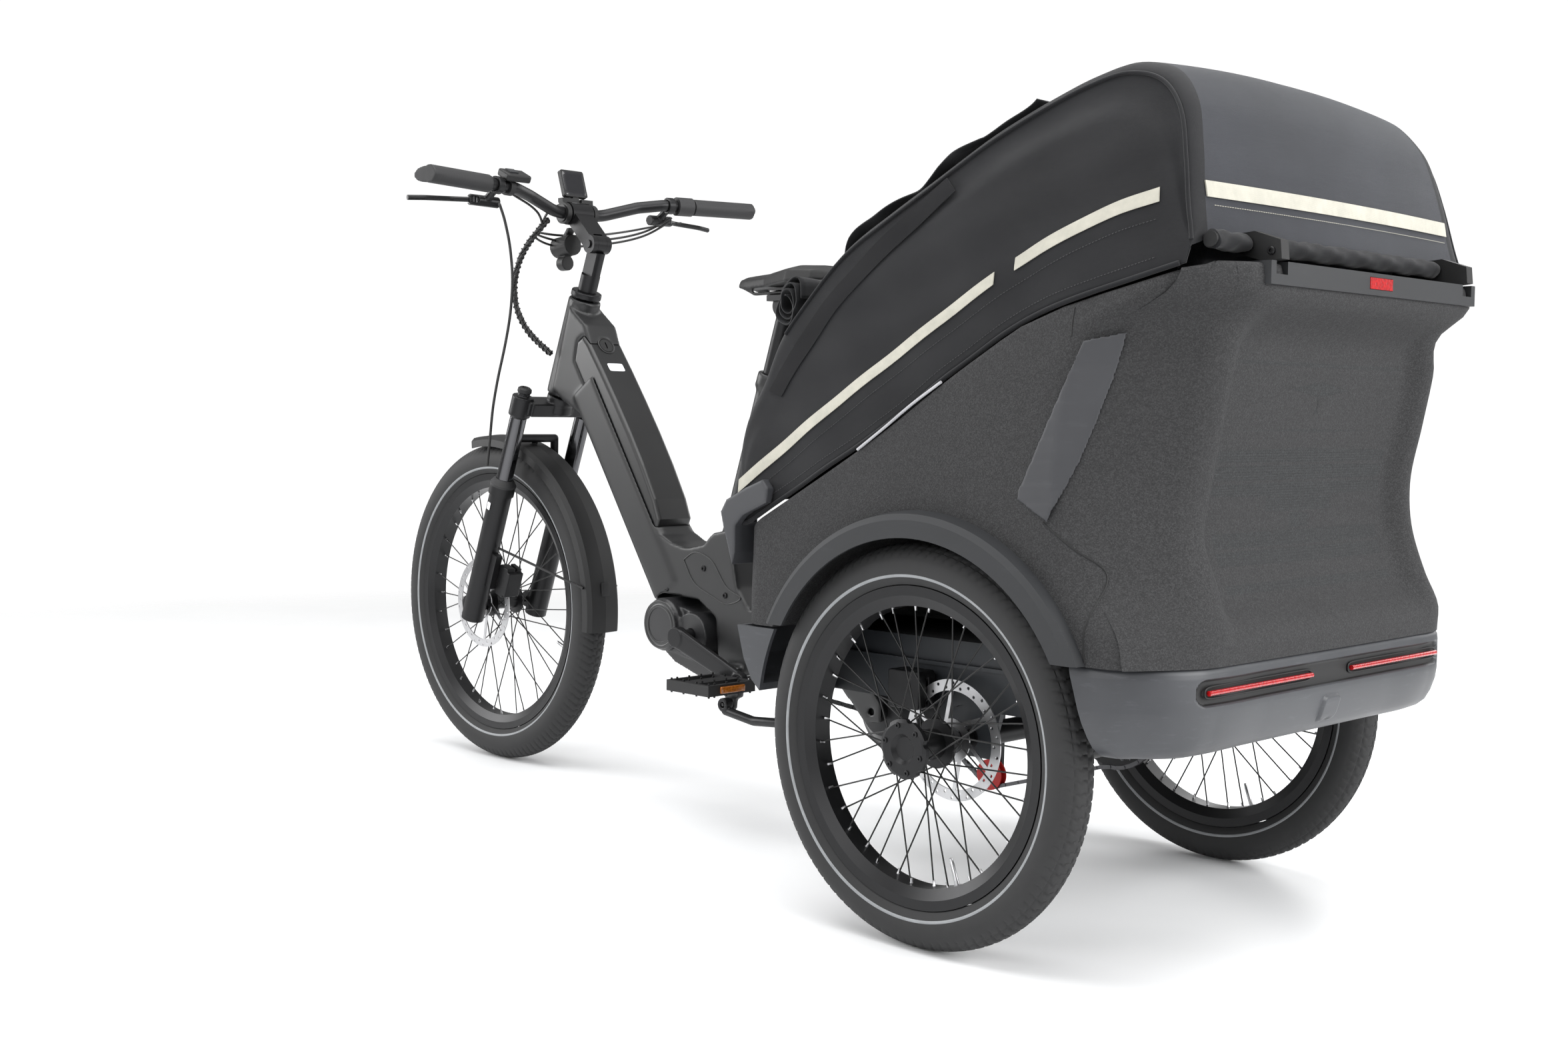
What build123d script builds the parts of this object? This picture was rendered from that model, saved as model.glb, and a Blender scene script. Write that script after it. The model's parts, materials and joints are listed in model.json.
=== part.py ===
"""Three-wheeled electric cargo cycle with a tilting front frame.

Frame: X forward, Y to the rider's left, Z up, millimetres, ground at Z = 0.
The origin is on the ground at the middle of the whole machine.
"""
import os
from math import asin, atan2, cos, degrees, hypot, pi, radians, sin

from build123d import *

# ---------------------------------------------------------------- driving dimensions
WHEELBASE = 1448.0
REAR_AXLE_X = -658.0
FRONT_AXLE_X = REAR_AXLE_X + WHEELBASE
HALF_TRACK = 350.5
REAR_WHEEL_R = 265.0
FRONT_WHEEL_R = 318.5
REAR_TYRE_W = 62.0
FRONT_TYRE_W = 65.0
RUNNING_GAP = 0.06          # radial clearance of a bearing seat
SHADOW_GAP = 0.4            # gap between fitted covers

HEAD_TOP = (517.0, 917.0)   # steering axis, X and Z
HEAD_BOTTOM = (590.0, 733.0)
FORK_RAKE = 33.0            # front axle ahead of the steering axis
LEG_RAKE = 18.0             # fork legs ahead of the steering axis
LEG_Y = 77.0
FORK_TRAVEL = 80.0
STANCHION_R = 16.0
LOWER_LEG_R = 22.0

TILT_Z = 352.0              # height of the tilt axis, along X
TILT_FRONT_X = -330.0
TILT_REAR_X = -560.0
TILT_SHAFT_R = 18.0

CRANK_AXLE = (142.0, 311.0)
MOTOR_AXLE = (215.0, 325.0)
CRANK_LENGTH = 172.0
CRANK_ANGLE = 200.0         # left crank, from +X towards +Z
CHAIN_PITCH = 12.7
CHAINRING_TEETH = 38
HUB_COG_TEETH = 22
AXLE_COG_TEETH = 42
FRONT_CHAIN_Y = -56.0
REAR_CHAIN_Y = -68.0
GEAR_HUB = (-314.0, 237.0)
ROLLER = (-432.0, 137.0)

STAND_PIVOT = (43.0, 203.0)
SEAT_COLLAR = (0.0, 766.0)
SEAT_ANGLE = 71.0
SEAT_POST_R = 15.8

STEM_PIVOT = (480.0, 1015.0)
BAR_CLAMP = (542.0, 1076.0)
BAR_R = 11.1
GRIP_INNER = (487.0, 241.0, 1106.0)
GRIP_OUTER = (465.0, 378.0, 1108.0)

CANOPY_HINGE = (-1084.0, 864.5)
CANOPY_TUBE = (-1053.0, 894.0)
BOX_WALL = 24.0
BOX_FLOOR_Z = 400.0


# ---------------------------------------------------------------- helpers
def prism(points, y_from, y_to):
    """Solid of an X-Z outline between two Y planes."""
    face = Face(Wire.make_polygon([Vector(x, y_from, z) for x, z in points]))
    return Solid.extrude(face, Vector(0, y_to - y_from, 0))


def cross_prism(points, x_from, x_to):
    """Solid of a Y-Z outline between two X planes."""
    face = Face(Wire.make_polygon([Vector(x_from, y, z) for y, z in points]))
    return Solid.extrude(face, Vector(x_to - x_from, 0, 0))


def block(x0, x1, y0, y1, z0, z1):
    """Box between two corners."""
    size = (abs(x1 - x0), abs(y1 - y0), abs(z1 - z0))
    return Pos((x0 + x1) / 2, (y0 + y1) / 2, (z0 + z1) / 2) * Box(*size)


def rod(start, end, radius):
    """Round bar from one point to another."""
    start, end = Vector(*start), Vector(*end)
    plane = Plane(origin=start, z_dir=end - start)
    return Solid.make_cylinder(radius, (end - start).length, plane)


def pipe(points, radius, bends):
    """Round bar along straight runs joined by tangent arcs."""
    path = FilletPolyline(*points, radius=bends)
    start = Plane(origin=path @ 0, z_dir=path % 0)
    return sweep(start * Circle(radius), path=path)


def y_disc(centre, radius, y_from, y_to):
    """Round disc whose axis is along Y; centre is X and Z."""
    return rod((centre[0], y_from, centre[1]), (centre[0], y_to, centre[1]), radius)


def y_ring(centre, outer, inner, y_from, y_to):
    """Flat ring whose axis is along Y."""
    return y_disc(centre, outer, y_from, y_to) - y_disc(centre, inner, y_from - 1, y_to + 1)


def spin(profile, centre, y_centre=0.0):
    """Revolve an (offset along Y, radius) outline about the Y line through centre."""
    points = [Vector(centre[0], y_centre + v, centre[1] + r) for v, r in profile]
    axis = Axis((centre[0], y_centre, centre[1]), (0, 1, 0))
    return Solid.revolve(Face(Wire.make_polygon(points)), 360, axis)


def mirror_y(shape):
    return mirror(shape, about=Plane.XZ)


def polar(centre, radius, angle):
    """X and Z of a point at an angle from +X towards +Z."""
    return (centre[0] + radius * cos(radians(angle)), centre[1] + radius * sin(radians(angle)))


def cog_radius(teeth):
    """Pitch radius of a chain wheel."""
    return CHAIN_PITCH / (2 * sin(pi / teeth))


def save(name, *shapes):
    """Write the solids of one node to its own STEP file."""
    solids = [solid for shape in shapes for solid in shape.solids()]
    node = solids[0] if len(solids) == 1 else Compound(children=solids)
    export_step(node, f"parts/{name}.step")


# steering frame: local X forward, local Y left, local Z up along the steering axis
_dx = HEAD_TOP[0] - HEAD_BOTTOM[0]
_dz = HEAD_TOP[1] - HEAD_BOTTOM[1]
HEAD_LENGTH = hypot(_dx, _dz)
STEER_UP = Vector(_dx / HEAD_LENGTH, 0, _dz / HEAD_LENGTH)
STEER_FORWARD = Vector(_dz / HEAD_LENGTH, 0, -_dx / HEAD_LENGTH)
STEER = Plane(origin=(HEAD_TOP[0], 0, HEAD_TOP[1]), x_dir=STEER_FORWARD, z_dir=STEER_UP)


def steer_point(u, v, w):
    """World point from steering-frame coordinates."""
    return STEER.from_local_coords(Vector(u, v, w))


def steer_rod(u, v, w_from, w_to, radius):
    return rod(tuple(steer_point(u, v, w_from)), tuple(steer_point(u, v, w_to)), radius)


FRONT_AXLE_Z = FRONT_WHEEL_R
FRONT_AXLE_W = STEER.to_local_coords(Vector(FRONT_AXLE_X, 0, FRONT_AXLE_Z)).Z
STANCHION_TOP_W = -240.0
LOWER_TOP_W = -390.0
STANCHION_END_W = -470.0
BRACE_U = 52.0
BRACE_W = -309.0


# ---------------------------------------------------------------- wheels
def tyre(centre, y, wheel_r, width, rim_r):
    """Hollow tyre standing on the rim edge."""
    mid = (wheel_r + rim_r) / 2 - 4
    plane = Plane(origin=(centre[0], y, centre[1]), x_dir=(0, 1, 0), z_dir=(1, 0, 0))
    outer = Pos(0, mid) * Ellipse(width / 2, wheel_r - mid)
    inner = Pos(0, mid) * Ellipse(width / 2 - 5, wheel_r - mid - 7)
    bead = Pos(0, rim_r - 60) * Rectangle(width * 2, 120)
    section = plane * (outer - inner - bead)
    return revolve(section, Axis((centre[0], y, centre[1]), (0, 1, 0)), 360)


def rim(centre, y, rim_r, width):
    """Deep-section rim with a tyre well."""
    half = width / 2
    profile = [
        (-half, rim_r), (-half + 3, rim_r), (-half + 4, rim_r - 9), (-9, rim_r - 14),
        (9, rim_r - 14), (half - 4, rim_r - 9), (half - 3, rim_r), (half, rim_r),
        (half - 1, rim_r - 13), (half - 9, rim_r - 27), (-half + 9, rim_r - 27), (-half + 1, rim_r - 13),
    ]
    return spin(profile, centre, y)


def spokes(centre, y, flange_r, flange_half, rim_r, count, offset):
    """Crossed wire spokes from two hub flanges to the rim."""
    wires = []
    for i in range(count):
        side = 1 if i % 2 else -1
        lean = 52 if (i // 2) % 2 else -52
        angle = 360 / count * i + offset
        hub_x, hub_z = polar(centre, flange_r, angle + lean)
        rim_x, rim_z = polar(centre, rim_r, angle)
        start = (hub_x, y + side * flange_half, hub_z)
        wires.append(rod(start, (rim_x, y + side * 4, rim_z), 1.1))
    return wires


def rotor(centre, y, outer, half_thickness=0.9):
    """Brake disc: drilled ring, six swept arms and a bolted centre."""
    band = y_ring(centre, outer, outer - 15, y - half_thickness, y + half_thickness)
    holes = []
    for i in range(36):
        hole_x, hole_z = polar(centre, outer - 7.5 + (3 if i % 2 else -3), 10 * i)
        holes.append(y_disc((hole_x, hole_z), 2.2, y - 2, y + 2))
    disc = band - holes
    disc = disc + y_ring(centre, 29, 17.5, y - half_thickness, y + half_thickness)
    for i in range(6):
        inner = polar(centre, 25, 60 * i)
        outer_end = polar(centre, outer - 12, 60 * i + 28)
        along = degrees(atan2(outer_end[1] - inner[1], outer_end[0] - inner[0]))
        arm = Box(hypot(outer_end[0] - inner[0], outer_end[1] - inner[1]), half_thickness * 2, 6)
        place = Pos((inner[0] + outer_end[0]) / 2, y, (inner[1] + outer_end[1]) / 2)
        disc = disc + place * Rot(0, -along, 0) * arm
    return disc


REAR_RIM_R = 210.0
FRONT_RIM_R = 258.0
REAR_HUB_BORE = 10.0
REAR_ROTOR_Y = 290.0


def rear_hub(y_centre, side):
    """Flanged rear hub with a bolted outer cap; side is +1 on the left."""
    centre = (REAR_AXLE_X, REAR_WHEEL_R)
    shaft = REAR_HUB_BORE + RUNNING_GAP
    profile = [
        (-58, shaft), (-58, 17), (-34, 17), (-31, 20), (-29, 33), (-25, 33), (-23, 20),
        (22, 22), (24, 34), (28, 34), (30, 26), (31, 39), (37, 39), (39, 34), (39, 20),
        (34, 15), (34, 0), (30, 0), (30, shaft),
    ]
    body = spin([(side * v, r) for v, r in profile], centre, y_centre)
    for i in range(6):
        x, z = polar(centre, 31, 60 * i + 15)
        body = body + y_disc((x, z), 4.2, y_centre + side * 36, y_centre + side * 39)
        notch = polar(centre, 43, 60 * i + 45)
        body = body - y_disc(notch, 7, y_centre + side * 30.5, y_centre + side * 40)
    return body


def front_hub():
    centre = (FRONT_AXLE_X, FRONT_AXLE_Z)
    bore = 6.0 + RUNNING_GAP
    profile = [
        (-44, bore), (-44, 11), (-34, 14), (-32, 27), (-28, 27), (-26, 16), (26, 16),
        (28, 29), (32, 29), (34, 17), (52, 17), (52, bore),
    ]
    return spin(profile, centre, 0)


def make_rear_wheel(name, side):
    centre = (REAR_AXLE_X, REAR_WHEEL_R)
    y = side * HALF_TRACK
    save(f"tyre_{name}", tyre(centre, y, REAR_WHEEL_R, REAR_TYRE_W, REAR_RIM_R))
    save(f"rim_{name}", rim(centre, y, REAR_RIM_R, 46))
    save(f"spokes_{name}", *spokes(centre, y, 30, 26, REAR_RIM_R - 22, 36, 4))
    save(f"hub_{name}", rear_hub(y, side))
    save(f"rotor_{name}", rotor(centre, side * REAR_ROTOR_Y, 81))


def make_front_wheel():
    centre = (FRONT_AXLE_X, FRONT_AXLE_Z)
    save("tyre_front", tyre(centre, 0, FRONT_WHEEL_R, FRONT_TYRE_W, FRONT_RIM_R))
    save("rim_front", rim(centre, 0, FRONT_RIM_R, 46))
    save("spokes_front", *spokes(centre, 0, 24, 30, FRONT_RIM_R - 22, 36, 0))
    save("hub_front", front_hub())
    save("rotor_front", rotor(centre, 47.5, 90))


# ---------------------------------------------------------------- rear chassis
RIM_LINE = [
    (-338, 533), (-398, 565), (-467, 602), (-587, 668), (-712, 746),
    (-827, 808), (-906, 831), (-1003, 854), (-1058, 867),
]
# height, rear X, rear half width, side end X, side half width
BOX_SECTIONS = [
    (400, -1043, 290, -985, 382),
    (436, -1050, 283, -965, 382),
    (482, -1036, 274, -915, 380),
    (548, -1014, 275, -884, 377),
    (605, -1015, 266, -876, 372),
    (685, -1031, 266, -880, 366),
    (755, -1045, 266, -895, 359),
    (806, -1056, 256, -930, 352),
    (838, -1090, 264, -1010, 346),
    (872, -1093, 268, -1046, 340),
]
WELL_INNER_Y = 302.0
WELL_R = 287.0


def box_section(z, rear_x, rear_half, side_x, side_half, inset=0.0):
    """Closed plan outline of the cargo tub at one height."""
    front_x = -332.0 - inset
    front_half = side_half - 10
    mid_x = (side_x * 0.55 + rear_x * 0.45)
    mid_half = side_half * 0.62 + rear_half * 0.38
    half = [
        (front_x, front_half - 28), (front_x - 26, side_half - 3 - inset), (side_x, side_half - inset),
        (mid_x + inset * 0.6, mid_half - inset * 0.9), (rear_x + inset, rear_half - inset * 0.5),
    ]
    points = half + [(x, -y) for x, y in reversed(half)]
    return Wire.make_polygon([Vector(x, y, z) for x, y in points])


def above_rim(lift=0.0):
    """Everything above the sloping top edge of the tub."""
    line = [(x, z + lift) for x, z in RIM_LINE]
    start = (-200, line[0][1] - 72)
    end = (-1300, line[-1][1] + 3)
    return prism([start, *line, end, (-1300, 1400), (-200, 1400)], -500, 500)


def wheel_well(inner_y, radius, side):
    centre = (REAR_AXLE_X, REAR_WHEEL_R)
    return y_disc(centre, radius, side * inner_y, side * 450)


def cargo_box():
    outer = Solid.make_loft([box_section(*row) for row in BOX_SECTIONS], ruled=True)
    rows = [(BOX_FLOOR_Z + BOX_WALL, *BOX_SECTIONS[0][1:])] + BOX_SECTIONS[1:]
    rows = rows + [(900, *BOX_SECTIONS[-1][1:])]
    inner = Solid.make_loft([box_section(*row, inset=BOX_WALL) for row in rows], ruled=True)
    tub = outer - above_rim()
    for side in (1, -1):
        inner = inner - wheel_well(WELL_INNER_Y - BOX_WALL, WELL_R + BOX_WALL, side)
    tub = tub - inner
    for side in (1, -1):
        tub = tub - wheel_well(WELL_INNER_Y, WELL_R, side)
    # seat of the trim strip along the rear top edge
    tub = tub - block(-1120, -1060, -262, 262, 844, 900)
    return tub


def bench_pads():
    """Seat and backrest cushions of the two-child bench."""
    seat = block(-955, -640, -268, 268, 600, 650)
    seat = fillet(seat.edges(), 16)
    back = block(-20, 20, -262, 262, 0, 290)
    back = Pos(-956, 0, 655) * Rot(0, -4, 0) * fillet(back.edges(), 15)
    return seat, back


def wheel_arch(side):
    """Moulded lip round the wheel opening."""
    centre = (REAR_AXLE_X - 12, 276.0)
    profile = [
        (372, 297), (396, 293), (401, 285), (401, 262), (397, 262), (397, 284), (394, 289), (372, 292),
    ]
    points = [Vector(centre[0], side * y, centre[1] + r) for y, r in profile]
    axis = Axis((centre[0], 0, centre[1]), (0, 1, 0))
    ring = Solid.revolve(Face(Wire.make_polygon(points)), 360, axis)
    below = prism([(-1000, -60), (-300, -60), (-300, 408), (-1000, 400)], side * 360, side * 405)
    core = Solid.make_loft([box_section(*row, inset=-0.05) for row in BOX_SECTIONS], ruled=True)
    arch = ring - below - core
    return max(arch.solids(), key=lambda solid: solid.volume)


def side_insert(side):
    """Slim grab panel set in the tub side behind the wheel."""
    outline = [
        (-955, 792), (-908, 782), (-880, 720), (-828, 604), (-826, 592), (-874, 566), (-905, 640), (-938, 736),
    ]
    panel = prism(outline, side * 330, side * 400)
    outer = Solid.make_loft([box_section(*row, inset=-2.5) for row in BOX_SECTIONS], ruled=True)
    core = Solid.make_loft([box_section(*row, inset=-0.05) for row in BOX_SECTIONS], ruled=True)
    return (panel & outer) - core


def trim_strip():
    """Hard strip along the rear top edge with two hinge notches."""
    strip = block(-1096, -1061, -258, 258, 845, 872)
    for side in (1, -1):
        strip = strip - block(-1110, -1072, side * 222, side * 247, 857, 880)
    strip = strip - block(-1100, -1092, -29, 29, 852, 867)
    for side in (1, -1):
        strip = strip + rod((-1084, side * 221, 864.5), (-1084, side * 248, 864.5), 3.4)
    return strip


def rear_bumper():
    """Wrap-round lower tail with a sunken light panel."""
    plan = [(-1043, 288), (-1020, 330), (-985, 362), (-930, 380)]
    low = [(-1018, 275), (-1000, 312), (-970, 335), (-930, 340)]
    outer = []
    for z, rows, grow in ((398, plan, 3), (372, plan, 1), (292, low, 0)):
        half = [(x - grow, y + grow * 0.6) for x, y in rows]
        ring = half + [(x, -y) for x, y in reversed(half)]
        outer.append(Wire.make_polygon([Vector(x, y, z) for x, y in ring]))
    body = Solid.make_loft(outer, ruled=True)
    inner = []
    for z, rows in ((405, plan), (372, plan), (285, low)):
        half = [(x + 6, y - 6) for x, y in rows]
        half = [(min(x, -900), y) for x, y in half]
        half[-1] = (-900, half[-1][1])
        ring = half + [(x, -y) for x, y in reversed(half)]
        inner.append(Wire.make_polygon([Vector(x, y, z) for x, y in ring]))
    body = body - Solid.make_loft(inner, ruled=True)
    for side in (1, -1):
        body = body - wheel_well(300, WELL_R - 6, side)
        body = body - block(-1050, -1038.5, side * 44, side * 290, 362, 380)
    # floor flange that bolts to the chassis
    body = body + block(-1042, -930, -250, 250, 392, 397)
    # cover of the tow eye
    body = body + prism([(-1024, 336), (-1034, 330), (-1030, 300), (-1016, 296)], -22, 22)
    return body


def red_lenses():
    """Two light bars and the middle reflector."""
    bars = []
    for side in (1, -1):
        bar = rod((-1042.2, side * 50, 371), (-1042.2, side * 284, 371), 3.2)
        bars.append(bar)
    reflector = block(-1096.5, -1092.2, -28.5, 28.5, 852.5, 866.5)
    return (*bars, reflector)


def side_skirt(side):
    """Lower front corner of the tub, ahead of the wheel."""
    outline = [
        (-332, 397), (-345, 352), (-362, 322), (-384, 303), (-404, 298), (-420, 306), (-420, 397),
    ]
    shell = prism(outline, side * 268, side * 380)
    hollow = [(-339, 400), (-352, 356), (-368, 328), (-388, 311), (-425, 304), (-425, 400)]
    shell = shell - prism(hollow, side * 260, side * 374)
    return shell - wheel_well(300, WELL_R - 4, side)


def corner_hook(side):
    """Hooked catch on the front top corner of the tub."""
    outline = [
        (-300, 556), (-312, 574), (-352, 592), (-386, 604), (-397, 592), (-394, 572), (-346, 553),
        (-330, 538), (-330, 500), (-324, 482), (-316, 505), (-306, 534),
    ]
    hook = prism(outline, side * 342, side * 385)
    core = Solid.make_loft([box_section(*row, inset=-0.4) for row in BOX_SECTIONS], ruled=True)
    hook = hook - core - canopy_solid(-1.5)
    return max(hook.solids(), key=lambda solid: solid.volume)


def chassis_frame():
    """Welded rear chassis: side plates, cross members, axle and tilt bearings."""
    parts = None
    for side in (1, -1):
        plate = block(-930, -400, side * 258, side * 264, 304, 397)
        ledge = block(-900, -420, side * 264, side * 270, 358, 363)
        plate = plate + ledge
        plate = plate - y_disc((REAR_AXLE_X, REAR_WHEEL_R), 44, side * 255, side * 275)
        carrier = prism(
            [(-720, 330), (-596, 330), (-622, 240), (-694, 240)], side * 250, side * 258,
        )
        plate = plate + carrier
        parts = plate if parts is None else parts + plate
    for x in (-915, -800, -430):
        parts = parts + block(x - 15, x + 15, -259, 259, 366, 396)
    parts = parts + block(-930, -346, -60, 60, 392, 397)
    housing = rod((TILT_REAR_X, 0, TILT_Z), (TILT_FRONT_X - 6, 0, TILT_Z), TILT_SHAFT_R + 9)
    parts = parts + housing
    parts = parts + block(-545, -415, -12, 12, TILT_Z, 396)
    parts = parts + block(-560, -350, -8, 8, TILT_Z + 10, 394)
    # arm of the chain tensioner, hung from the front cross member
    parts = parts + prism([(-445, 370), (-420, 370), (-424, 130), (-440, 130)], -88, -82)
    parts = parts + block(-445, -415, -88, -60, 366, 372)
    parts = parts + y_disc(ROLLER, 5, -88, -58)
    # caliper lugs
    for side in (1, -1):
        parts = parts + block(-596, -560, side * 258, side * 280, 300, 318)
    bore = rod((TILT_REAR_X - 20, 0, TILT_Z), (TILT_FRONT_X, 0, TILT_Z), TILT_SHAFT_R + RUNNING_GAP)
    parts = parts - bore
    parts = parts - y_disc((REAR_AXLE_X, REAR_WHEEL_R), 16.0, -270, 270)
    return parts


def rear_axle():
    """Differential case on the rear axle with its tubes, cog and half shafts."""
    centre = (REAR_AXLE_X, REAR_WHEEL_R)
    profile = [(-60, 0), (-60, 40), (-40, 62), (40, 62), (60, 40), (80, 26), (110, 16), (110, 0)]
    case = spin(profile, centre)
    tube = y_disc(centre, 16, -257.8, 257.8)
    shaft = y_disc(centre, REAR_HUB_BORE, -375, 375)
    cog = y_disc(centre, cog_radius(AXLE_COG_TEETH) - 4, REAR_CHAIN_Y - 2, REAR_CHAIN_Y + 2)
    return case + tube + shaft + cog


def rear_caliper(side):
    """Brake caliper astride the rear disc."""
    body = block(-612, -556, side * 274, side * 308, 300, 352)
    body = body - block(-640, -540, side * (REAR_ROTOR_Y - 2.4), side * (REAR_ROTOR_Y + 2.4), 280, 341)
    body = body - block(-600, -555, side * 270, side * 280.4, 290, 318.4)
    return fillet(body.edges().filter_by(Axis.Y), 5)


def roller():
    """Grooved guide wheel of the chain tensioner."""
    gap = 5 + RUNNING_GAP
    profile = [(-7, gap), (-7, 24), (-5, 24), (-3.5, 17), (3.5, 17), (5, 24), (7, 24), (7, gap)]
    return spin(profile, ROLLER, REAR_CHAIN_Y)


# ---------------------------------------------------------------- canopy
CANOPY_SIDE = [
    (-322, 571), (-307, 646), (-315, 690), (-346, 748), (-372, 806), (-420, 862), (-490, 928),
    (-556, 966), (-619, 1000), (-737, 1064), (-800, 1091), (-862, 1111), (-918, 1121), (-965, 1108),
    (-1004, 1064), (-1022, 1006), (-1034, 940), (-1046, 884),
]


def canopy_solid(inset):
    """Body of the hood, pulled in by an inset all round."""
    centre_x = sum(p[0] for p in CANOPY_SIDE) / len(CANOPY_SIDE)
    centre_z = sum(p[1] for p in CANOPY_SIDE) / len(CANOPY_SIDE)
    side = []
    for x, z in CANOPY_SIDE:
        reach = hypot(x - centre_x, z - centre_z)
        shrink = 1 - inset * 1.25 / reach
        side.append((centre_x + (x - centre_x) * shrink, centre_z + (z - centre_z) * shrink))
    lift = -30.0 if inset > 0 else 4.0 + inset
    hem = [(max(x, -1040.0), z + lift) for x, z in reversed(RIM_LINE)]
    body = prism(side + hem, -400, 400)
    front_view = [
        (-370 + inset, 530), (370 - inset, 530), (362 - inset, 640), (337 - inset, 890), (286 - inset, 1098),
        (268 - inset, 1122), (0, 1134 - inset), (-268 + inset, 1122), (-286 + inset, 1098),
        (-337 + inset, 890), (-362 + inset, 640),
    ]
    return body & cross_prism(front_view, -1200, -200)


def canopy_cover():
    """Fabric hood: closed above, open below, with its front flap rolled up."""
    flap = prism(
        [(-360, 838), (-398, 800), (-416, 858), (-490, 922), (-556, 960), (-640, 1004), (-640, 1022),
         (-560, 990), (-480, 950), (-412, 892)],
        -276, 276,
    )
    roll = rod((-366, -280, 862), (-366, 280, 862), 29)
    cover = (canopy_solid(0) + flap + roll) - canopy_solid(5)
    cover = cover - roll_core()
    tube_x, tube_z = CANOPY_TUBE
    cover = cover - rod((tube_x, -330, tube_z), (tube_x, 330, tube_z), 9.3)
    for side in (1, -1):
        cover = cover - block(-1110, -1039, side * 224, side * 245, 850, 910)
    return cover


def roll_core():
    """Hollow in the middle of the rolled-up flap."""
    return rod((-366, -300, 862), (-366, 300, 862), 9)


def canopy_frame():
    """Hood bows, the rear cross tube and its two clamps on the hinge rods."""
    tube_x, tube_z = CANOPY_TUBE
    rear = rod((tube_x, -318, tube_z), (tube_x, 318, tube_z), 9)
    clamps = None
    for side in (1, -1):
        ear = prism(
            [(-1100, 874), (-1078, 872), (-1040, 884), (-1040, 906), (-1064, 908), (-1098, 896)],
            side * 226, side * 243,
        )
        clamps = ear if clamps is None else clamps + ear
    return rear + clamps


# ---------------------------------------------------------------- front frame
DOWN_TUBE_HALF = 46.0
DOWN_TUBE_SLOPE = 56.3
DOWN_TUBE_LOW = -17.7       # underside and top, measured square to the slope
DOWN_TUBE_HIGH = 66.0


def down_point(along, across):
    """X and Z of a point along and square to the slope of the down tube."""
    c, s = cos(radians(DOWN_TUBE_SLOPE)), sin(radians(DOWN_TUBE_SLOPE))
    return (along * c - across * s, along * s + across * c)


def tube_run(start, end, low, high, half, corner):
    """Straight stretch of the down tube with rounded corners."""
    x, z = down_point(start, (low + high) / 2)
    x_end, z_end = down_point(end, (low + high) / 2)
    plane = Plane(origin=(x, 0, z), x_dir=(0, 1, 0), z_dir=(x_end - x, 0, z_end - z))
    return extrude(plane * RectangleRounded(2 * half, high - low, corner), end - start)


def main_frame():
    """One-piece alloy front frame with battery bay, motor bay and rear fork."""
    down = tube_run(446, 884, DOWN_TUBE_LOW, DOWN_TUBE_HIGH, DOWN_TUBE_HALF, 17)
    body_outline = [
        (262, 380), (262, 492), (216, 470), (176, 462), (130, 470), (104, 492), (62, 500), (40, 400),
        (10, 366), (-140, 372), (-225, 376), (-225, 318), (-140, 300), (20, 251), (88, 262), (96, 345),
        (140, 372),
    ]
    down = down - tube_run(440, 850, DOWN_TUBE_LOW + 5, DOWN_TUBE_HIGH - 5, DOWN_TUBE_HALF - 5, 12)
    body = prism(body_outline, -42, 42)
    body = body - prism([(-215, 324), (-140, 306), (14, 260), (14, 360), (-140, 366), (-215, 370)], -37, 37)
    seat_dir = (-cos(radians(SEAT_ANGLE)), sin(radians(SEAT_ANGLE)))
    collar = SEAT_COLLAR
    low = (collar[0] - seat_dir[0] * 300, collar[1] - seat_dir[1] * 300)
    seat_tube = rod((low[0], 0, low[1]), (collar[0], 0, collar[1]), 20)
    ring_low = (collar[0] - seat_dir[0] * 26, collar[1] - seat_dir[1] * 26)
    seat_ring = rod((ring_low[0], 0, ring_low[1]), (collar[0], 0, collar[1]), 24)
    collar_bolt = rod((26, -14, 748), (26, 14, 748), 6)
    head = steer_rod(0, 0, -HEAD_LENGTH + 2, -2, 31)
    neck = prism([(540, 720), (574, 745), (520, 900), (470, 862), (440, 790), (470, 690)], -38, 38)
    frame = down + body + seat_tube + seat_ring + collar_bolt + neck + head
    # spine and drop-outs that carry the gear hub, and the tilt shaft
    frame = frame + block(-335, -220, -30, 30, 330, 374)
    frame = frame + block(-262, -200, -84, 84, 320, 338)
    for side in (1, -1):
        plate = prism([(-200, 338), (-262, 338), (-334, 252), (-334, 222), (-300, 218), (-200, 312)],
                      side * 78, side * 84)
        frame = frame + plate
    frame = frame + rod((-330, 0, TILT_Z), (TILT_REAR_X + 6, 0, TILT_Z), TILT_SHAFT_R)
    # kickstand lug
    frame = frame + block(22, 62, 38, 56, 214, 268)
    frame = frame + y_disc(STAND_PIVOT, 13, 44, 56) + y_disc(STAND_PIVOT, 5, 50, 74)
    # bores
    frame = frame - steer_rod(0, 0, -HEAD_LENGTH - 20, 20, 16 + RUNNING_GAP)
    deep = (collar[0] - seat_dir[0] * 272, collar[1] - seat_dir[1] * 272)
    high = (collar[0] + seat_dir[0] * 5, collar[1] + seat_dir[1] * 5)
    frame = frame - rod((deep[0], 0, deep[1]), (high[0], 0, high[1]), SEAT_POST_R + RUNNING_GAP)
    frame = frame - drive_unit_solid(0.5)
    frame = frame - battery_solid(0.5) - lock_axis_rod(-12, 60, 14.4)
    frame = frame - y_disc(GEAR_HUB, 6, -90, 90)
    return frame


BATTERY_HALF = 40.0
# outline along and square to the down tube: low front, up over the crowned cover, and back
BATTERY_LINE = [
    (556, 24), (553, 60), (562, 74), (600, 82), (670, 86.5), (740, 87.5), (810, 86), (880, 83),
    (940, 79), (964, 74), (966, 52), (940, 24),
]
LOCK_ALONG = 938.0
LOCK_ACROSS = 77.0


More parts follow.
